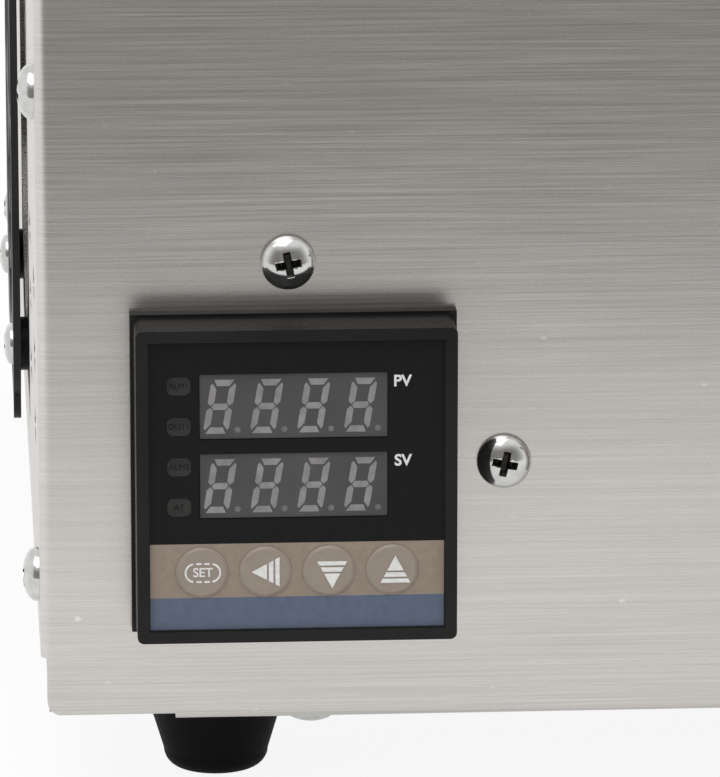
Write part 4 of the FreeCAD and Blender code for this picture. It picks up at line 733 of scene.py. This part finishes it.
def set_outlines():
    """A dashed rounded frame: two round ends, and dashes above and below."""
    turns = [math.radians(END_START + END_SWEEP * step / END_STEPS) for step in range(END_STEPS + 1)]
    end = [(SET_RADIUS * math.cos(t) - SET_HALF_STRAIGHT, SET_RADIUS * math.sin(t)) for t in turns]
    inner = SET_RADIUS - SET_STROKE
    end += [(inner * math.cos(t) - SET_HALF_STRAIGHT, inner * math.sin(t)) for t in reversed(turns)]
    outlines = [end, [(-u, v) for u, v in end]]
    for start, stop in SET_DASHES:
        for side in (1, -1):
            outlines.append([(start, side * inner), (stop, side * inner),
                             (stop, side * SET_RADIUS), (start, side * SET_RADIUS)])
    return outlines


for name, body, turn, aside, above in KEYS:
    low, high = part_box(name)
    middle = (low + high) / 2
    depth = high.y - fascia_low.y
    cap = begin(f"{name}_cap", bpy.ops.mesh.primitive_cylinder_add, vertices=KEY_SIDES,
                radius=KEY_RADIUS, depth=depth, rotation=(math.pi / 2, 0, 0),
                location=(middle.x, fascia_low.y + depth / 2, middle.z))
    pick(cap, lambda place, normal: normal.y < -0.9)
    for inset, rise in KEY_STEPS:
        bpy.ops.mesh.inset(thickness=inset * MM, depth=rise * MM)
    close(cap, 60)
    settle(cap, key_tan, body, "key_face", name)
    face = Vector((middle.x + aside * MM, fascia_low.y - SIGN_RISE, middle.z + above * MM))
    if turn is None:
        dashes = flat_mark("key_set_frame", set_outlines(), face, gauge=SIGN_GAUGE)
        settle(dashes, white_ink, body, "key_face")
        mark = word("key_set_word", "SET", SET_WORD_HEIGHT, face, SET_WORD_WEIGHT, SIGN_GAUGE)
    else:
        mark = flat_mark(f"{name}_sign", arrow_outlines(), face, turn, SIGN_GAUGE)
    settle(mark, white_ink, body, "key_face")

# Cooling fan: a black moulded frame and rotor behind the left side, with a thin grille outside it.
# The grille stands off the sheet on four bosses, held by small dome-head screws.
GUARD_HEAD = 3.4 * MM
GUARD_HEAD_HEIGHT = 1.5 * MM
REAR_TURN = 20
fan_plastic = moulded_plastic("fan_plastic", (0.012, 0.012, 0.0125), (0.024, 0.024, 0.025), 0.42)
dress(fan_plastic, "cooling_fan_frame", "cooling_fan_rotor", "fan_guard")
dress(fan_plastic, "exhaust_fan_frame", "exhaust_fan_rotor")
low, high = head_places("guard_screws", GUARD_HEAD)
guard_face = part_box("fan_guard")[0].x
screw_set("guard_screw_heads", "guard_screws", [
    (Vector((guard_face, y, z)), "left", REAR_TURN * (y > 0))
    for y in (low.y, high.y) for z in (low.z, high.z)
], (GUARD_HEAD / HEAD_RADIUS, GUARD_HEAD_HEIGHT / HEAD_HEIGHT))

# Heating chamber: a bright sheet liner in a fibre blanket, with quartz tube heaters on ceramic caps, a
# reflector over them, a thermocouple in the side and a duct to the exhaust fan at the back.
LOWER_TURN, UPPER_TURN = 15, 55
bright_sheet = finish("bright_sheet", (0.66, 0.66, 0.65), 0.26, 1.0)
rolled = pattern(bright_sheet, (30, 400, 30), 4.0)
tint(bright_sheet, rolled, (0.58, 0.575, 0.56), (0.74, 0.735, 0.725))
vary(bright_sheet, rolled, "Roughness", 0.2, 0.36)
dress(bright_sheet, "chamber_liner", "exhaust_duct", "heat_reflector")
dress(bright_sheet, "chamber_rail_left", "chamber_rail_right")
fibre = finish("fibre_blanket", (0.72, 0.69, 0.62), 0.95)
felt = pattern(fibre, (700, 700, 700), 6.0)
tint(fibre, felt, (0.6, 0.57, 0.5), (0.82, 0.8, 0.74))
dent(fibre, felt, 0.6, 0.6 * MM)
dress(fibre, "insulation_blanket")
quartz = finish("quartz_tube", (0.86, 0.85, 0.81), 0.12)
quartz.node_tree.nodes["Principled BSDF"].inputs["Transmission Weight"].default_value = 0.55
tint(quartz, pattern(quartz, (25, 300, 300)), (0.78, 0.74, 0.66), (0.9, 0.89, 0.86))
dress(quartz, "heater_tubes")
ceramic = finish("ceramic_caps", (0.78, 0.76, 0.7), 0.7)
fired = pattern(ceramic, (900, 900, 900), 4.0)
tint(ceramic, fired, (0.7, 0.68, 0.61), (0.84, 0.82, 0.77))
dent(ceramic, fired, 0.3, 0.1 * MM)
dress(ceramic, "heater_end_caps")
probe_steel = finish("probe_steel", (0.6, 0.59, 0.57), 0.24, 1.0)
tint(probe_steel, pattern(probe_steel, (900, 60, 60)), (0.5, 0.49, 0.47), (0.68, 0.67, 0.66))
dress(probe_steel, "thermocouple_probe")
low, high = head_places("exhaust_fan_screws")
screw_set("exhaust_screw_heads", "exhaust_fan_screws", [
    (Vector((x, back_face, z)), "back", turn)
    for x in (low.x, high.x) for z, turn in ((low.z, LOWER_TURN), (high.z, UPPER_TURN))
])

# Drawer: a folded stainless front with a smoked glass pane clipped behind it, a silicone seal, a black bar
# handle on two posts, and a slotted tray in a frame that slides on two runners.
HANDLE_EASE = 1.4 * MM
WELD = 0.001 * MM
FLAT = math.radians(0.5)
dress(wall_sheet, "drawer_front")
dress(bright_sheet, "drawer_inner_plate", "window_frame", "drawer_tray", "tray_frame", "drawer_runners")
pane = finish("smoked_pane", (0.16, 0.12, 0.085), 0.05)
pane.node_tree.nodes["Principled BSDF"].inputs["Transmission Weight"].default_value = 0.9
tint(pane, pattern(pane, (40, 40, 40)), (0.145, 0.108, 0.076), (0.175, 0.132, 0.095))
dress(pane, "window_glass")
silicone = finish("red_silicone", (0.26, 0.035, 0.022), 0.5)
cured = pattern(silicone, (800, 800, 800), 3.0)
tint(silicone, cured, (0.22, 0.028, 0.018), (0.3, 0.045, 0.028))
vary(silicone, cured, "Roughness", 0.42, 0.6)
dress(silicone, "drawer_gasket")
handle_plastic = moulded_plastic(
    "handle_plastic", (0.014, 0.014, 0.015), (0.026, 0.026, 0.028), 0.45, grains=1600, strength=0.3)
handle_bar = frame["nodes"]["drawer_handle"].copy()
handle_bar.data = handle_bar.data.copy()
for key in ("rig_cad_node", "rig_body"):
    del handle_bar[key]
handle_bar.parent = None
handle_bar.name = "handle_bar"
bpy.context.scene.collection.objects.link(handle_bar)
close(handle_bar)
bpy.ops.object.mode_set(mode="EDIT")
bpy.ops.mesh.select_all(action="SELECT")
bpy.ops.mesh.remove_doubles(threshold=WELD)
bpy.ops.mesh.dissolve_limited(angle_limit=FLAT)
close(handle_bar)
ease(handle_bar, HANDLE_EASE, 3, 50)
close(handle_bar)
settle(handle_bar, handle_plastic, "drawer", "handle_plastic", "drawer_handle")

# Power control: a finned aluminium sink on the base pan with the relay on it, and a terminal strip.
# They sit in the left bay, out of the chamber's heat.
blasted = finish("blasted_aluminium", (0.55, 0.56, 0.58), 0.5, 1.0)
beads = pattern(blasted, (3000, 3000, 3000), 2.0)
tint(blasted, beads, (0.48, 0.49, 0.51), (0.62, 0.63, 0.65))
dent(blasted, beads, 0.3, 0.05 * MM)
dress(blasted, "relay_heat_sink")
dress(block_plastic, "solid_state_relay", "terminal_strip")

# Mains: a three-pin inlet, a rocker switch and a fuse holder in the back panel.
# All are stock black mouldings, the inlet on two screws and the others snapped or nutted in.
dress(block_plastic, "power_inlet", "switch_housing", "fuse_holder")
dress(handle_plastic, "switch_rocker")
plated = finish("plated_pins", (0.62, 0.52, 0.3), 0.24, 1.0)
tint(plated, pattern(plated, (700, 700, 700)), (0.55, 0.46, 0.26), (0.7, 0.6, 0.36))
dress(plated, "inlet_pins")
INLET_TURN = 30
low, high = head_places("inlet_screws")
inlet_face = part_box("power_inlet")[1].y
screw_set("inlet_screw_heads", "inlet_screws", [
    (Vector((x, inlet_face, (low.z + high.z) / 2)), "back", INLET_TURN) for x in (low.x, high.x)
])
bpy.data.objects.remove(screw_head)

# Stage: a pale sweep under and behind the oven, a large soft light above, a weak one in front, and a white
# surround that leaves the side towards the camera dark, as in a small product studio.
FLOOR_FRONT = -0.45
FLOOR_BACK = 3.0
FLOOR_HALF = 3.0
PAPER_WHITE = 0.85
SEEN_GLOW = 0.9
MIRRORED_GLOW = 0.55
bpy.ops.object.select_all(action="DESELECT")
bpy.ops.mesh.primitive_plane_add(size=1, location=(0, (FLOOR_FRONT + FLOOR_BACK) / 2, 0))
floor = bpy.context.object
floor.name = "sweep"
floor.scale = (2 * FLOOR_HALF, FLOOR_BACK - FLOOR_FRONT, 1)
bpy.ops.object.transform_apply(location=True, rotation=True, scale=True)
sweep_paper = bpy.data.materials.new("sweep_paper")
sweep_paper.use_nodes = True
tree = sweep_paper.node_tree
paper = tree.nodes["Principled BSDF"]
paper.inputs["Base Color"].default_value = (PAPER_WHITE, PAPER_WHITE, PAPER_WHITE, 1)
paper.inputs["Roughness"].default_value = 0.9
glow = tree.nodes.new("ShaderNodeEmission")
rays = tree.nodes.new("ShaderNodeLightPath")
seen = reckon(tree, "MULTIPLY", rays.outputs["Is Camera Ray"], SEEN_GLOW)
mirrored = reckon(tree, "MAXIMUM", rays.outputs["Is Glossy Ray"], rays.outputs["Is Transmission Ray"])
mirrored = reckon(tree, "MULTIPLY", mirrored, MIRRORED_GLOW)
paper_mix = tree.nodes.new("ShaderNodeMixShader")
tree.links.new(reckon(tree, "MAXIMUM", seen, mirrored), paper_mix.inputs[0])
tree.links.new(paper.outputs[0], paper_mix.inputs[1])
tree.links.new(glow.outputs[0], paper_mix.inputs[2])
tree.links.new(paper_mix.outputs[0], tree.nodes["Material Output"].inputs["Surface"])
floor.data.materials.append(sweep_paper)

DARK_FRONT = (-0.9, -0.35)
LIT_ABOVE = (0.3, 0.75)
FRONT_SHADE = (0.3, 0.29, 0.28, 1)
world = bpy.data.worlds.new("studio")
bpy.context.scene.world = world
world.use_nodes = True
tree = world.node_tree
surround = tree.nodes["Background"]
direction = tree.nodes.new("ShaderNodeTexCoord")
axes = tree.nodes.new("ShaderNodeSeparateXYZ")
tree.links.new(direction.outputs["Generated"], axes.inputs[0])
around = ranged(tree, axes.outputs["Y"], DARK_FRONT, soft=True)
above = ranged(tree, axes.outputs["Z"], LIT_ABOVE, soft=True)
shades = tree.nodes.new("ShaderNodeValToRGB")
shades.color_ramp.elements[0].color = FRONT_SHADE
shades.color_ramp.elements[1].color = (1, 1, 1, 1)
tree.links.new(reckon(tree, "MAXIMUM", around, above), shades.inputs["Fac"])
tree.links.new(shades.outputs["Color"], surround.inputs["Color"])
backdrop = tree.nodes.new("ShaderNodeBackground")
backdrop.inputs["Color"].default_value = (1, 1, 1, 1)
rays = tree.nodes.new("ShaderNodeLightPath")
bare = reckon(tree, "MAXIMUM", rays.outputs["Is Camera Ray"], rays.outputs["Is Transmission Ray"])
world_mix = tree.nodes.new("ShaderNodeMixShader")
tree.links.new(bare, world_mix.inputs[0])
tree.links.new(surround.outputs[0], world_mix.inputs[1])
tree.links.new(backdrop.outputs[0], world_mix.inputs[2])
tree.links.new(world_mix.outputs[0], tree.nodes["World Output"].inputs["Surface"])

LIT_PLACE = Vector((0, 0, 0.06))


def soft_light(name, place, size, power):
    """A square soft light turned to the oven's middle."""
    bpy.ops.object.light_add(type="AREA", location=place)
    light = bpy.context.object
    light.name = name
    light.data.size = size
    light.data.energy = power
    light.rotation_euler = (LIT_PLACE - light.location).to_track_quat("-Z", "Y").to_euler()
    return light


soft_light("softbox", place=(-0.35, -0.5, 1.1), size=0.9, power=5)
fill = soft_light("front_fill", place=(-0.2, -1.5, 0.9), size=1.0, power=2)
fill.visible_glossy = False

CAMERA_PLACE = (-0.16534, -1.01032, 0.27310)
CAMERA_PITCH = 13.173
CAMERA_YAW = 3.776
FOCAL_LENGTH = 287.26
SENSOR_WIDTH = 36
bpy.ops.object.camera_add(location=CAMERA_PLACE, rotation=(
    math.radians(90 - CAMERA_PITCH), 0, math.radians(-CAMERA_YAW)))
camera = bpy.context.object
camera.data.lens = FOCAL_LENGTH
camera.data.sensor_width = SENSOR_WIDTH
camera.data.clip_start = 0.01
camera.data.clip_end = 50
bpy.context.scene.camera = camera
bpy.context.scene.view_settings.view_transform = "Standard"
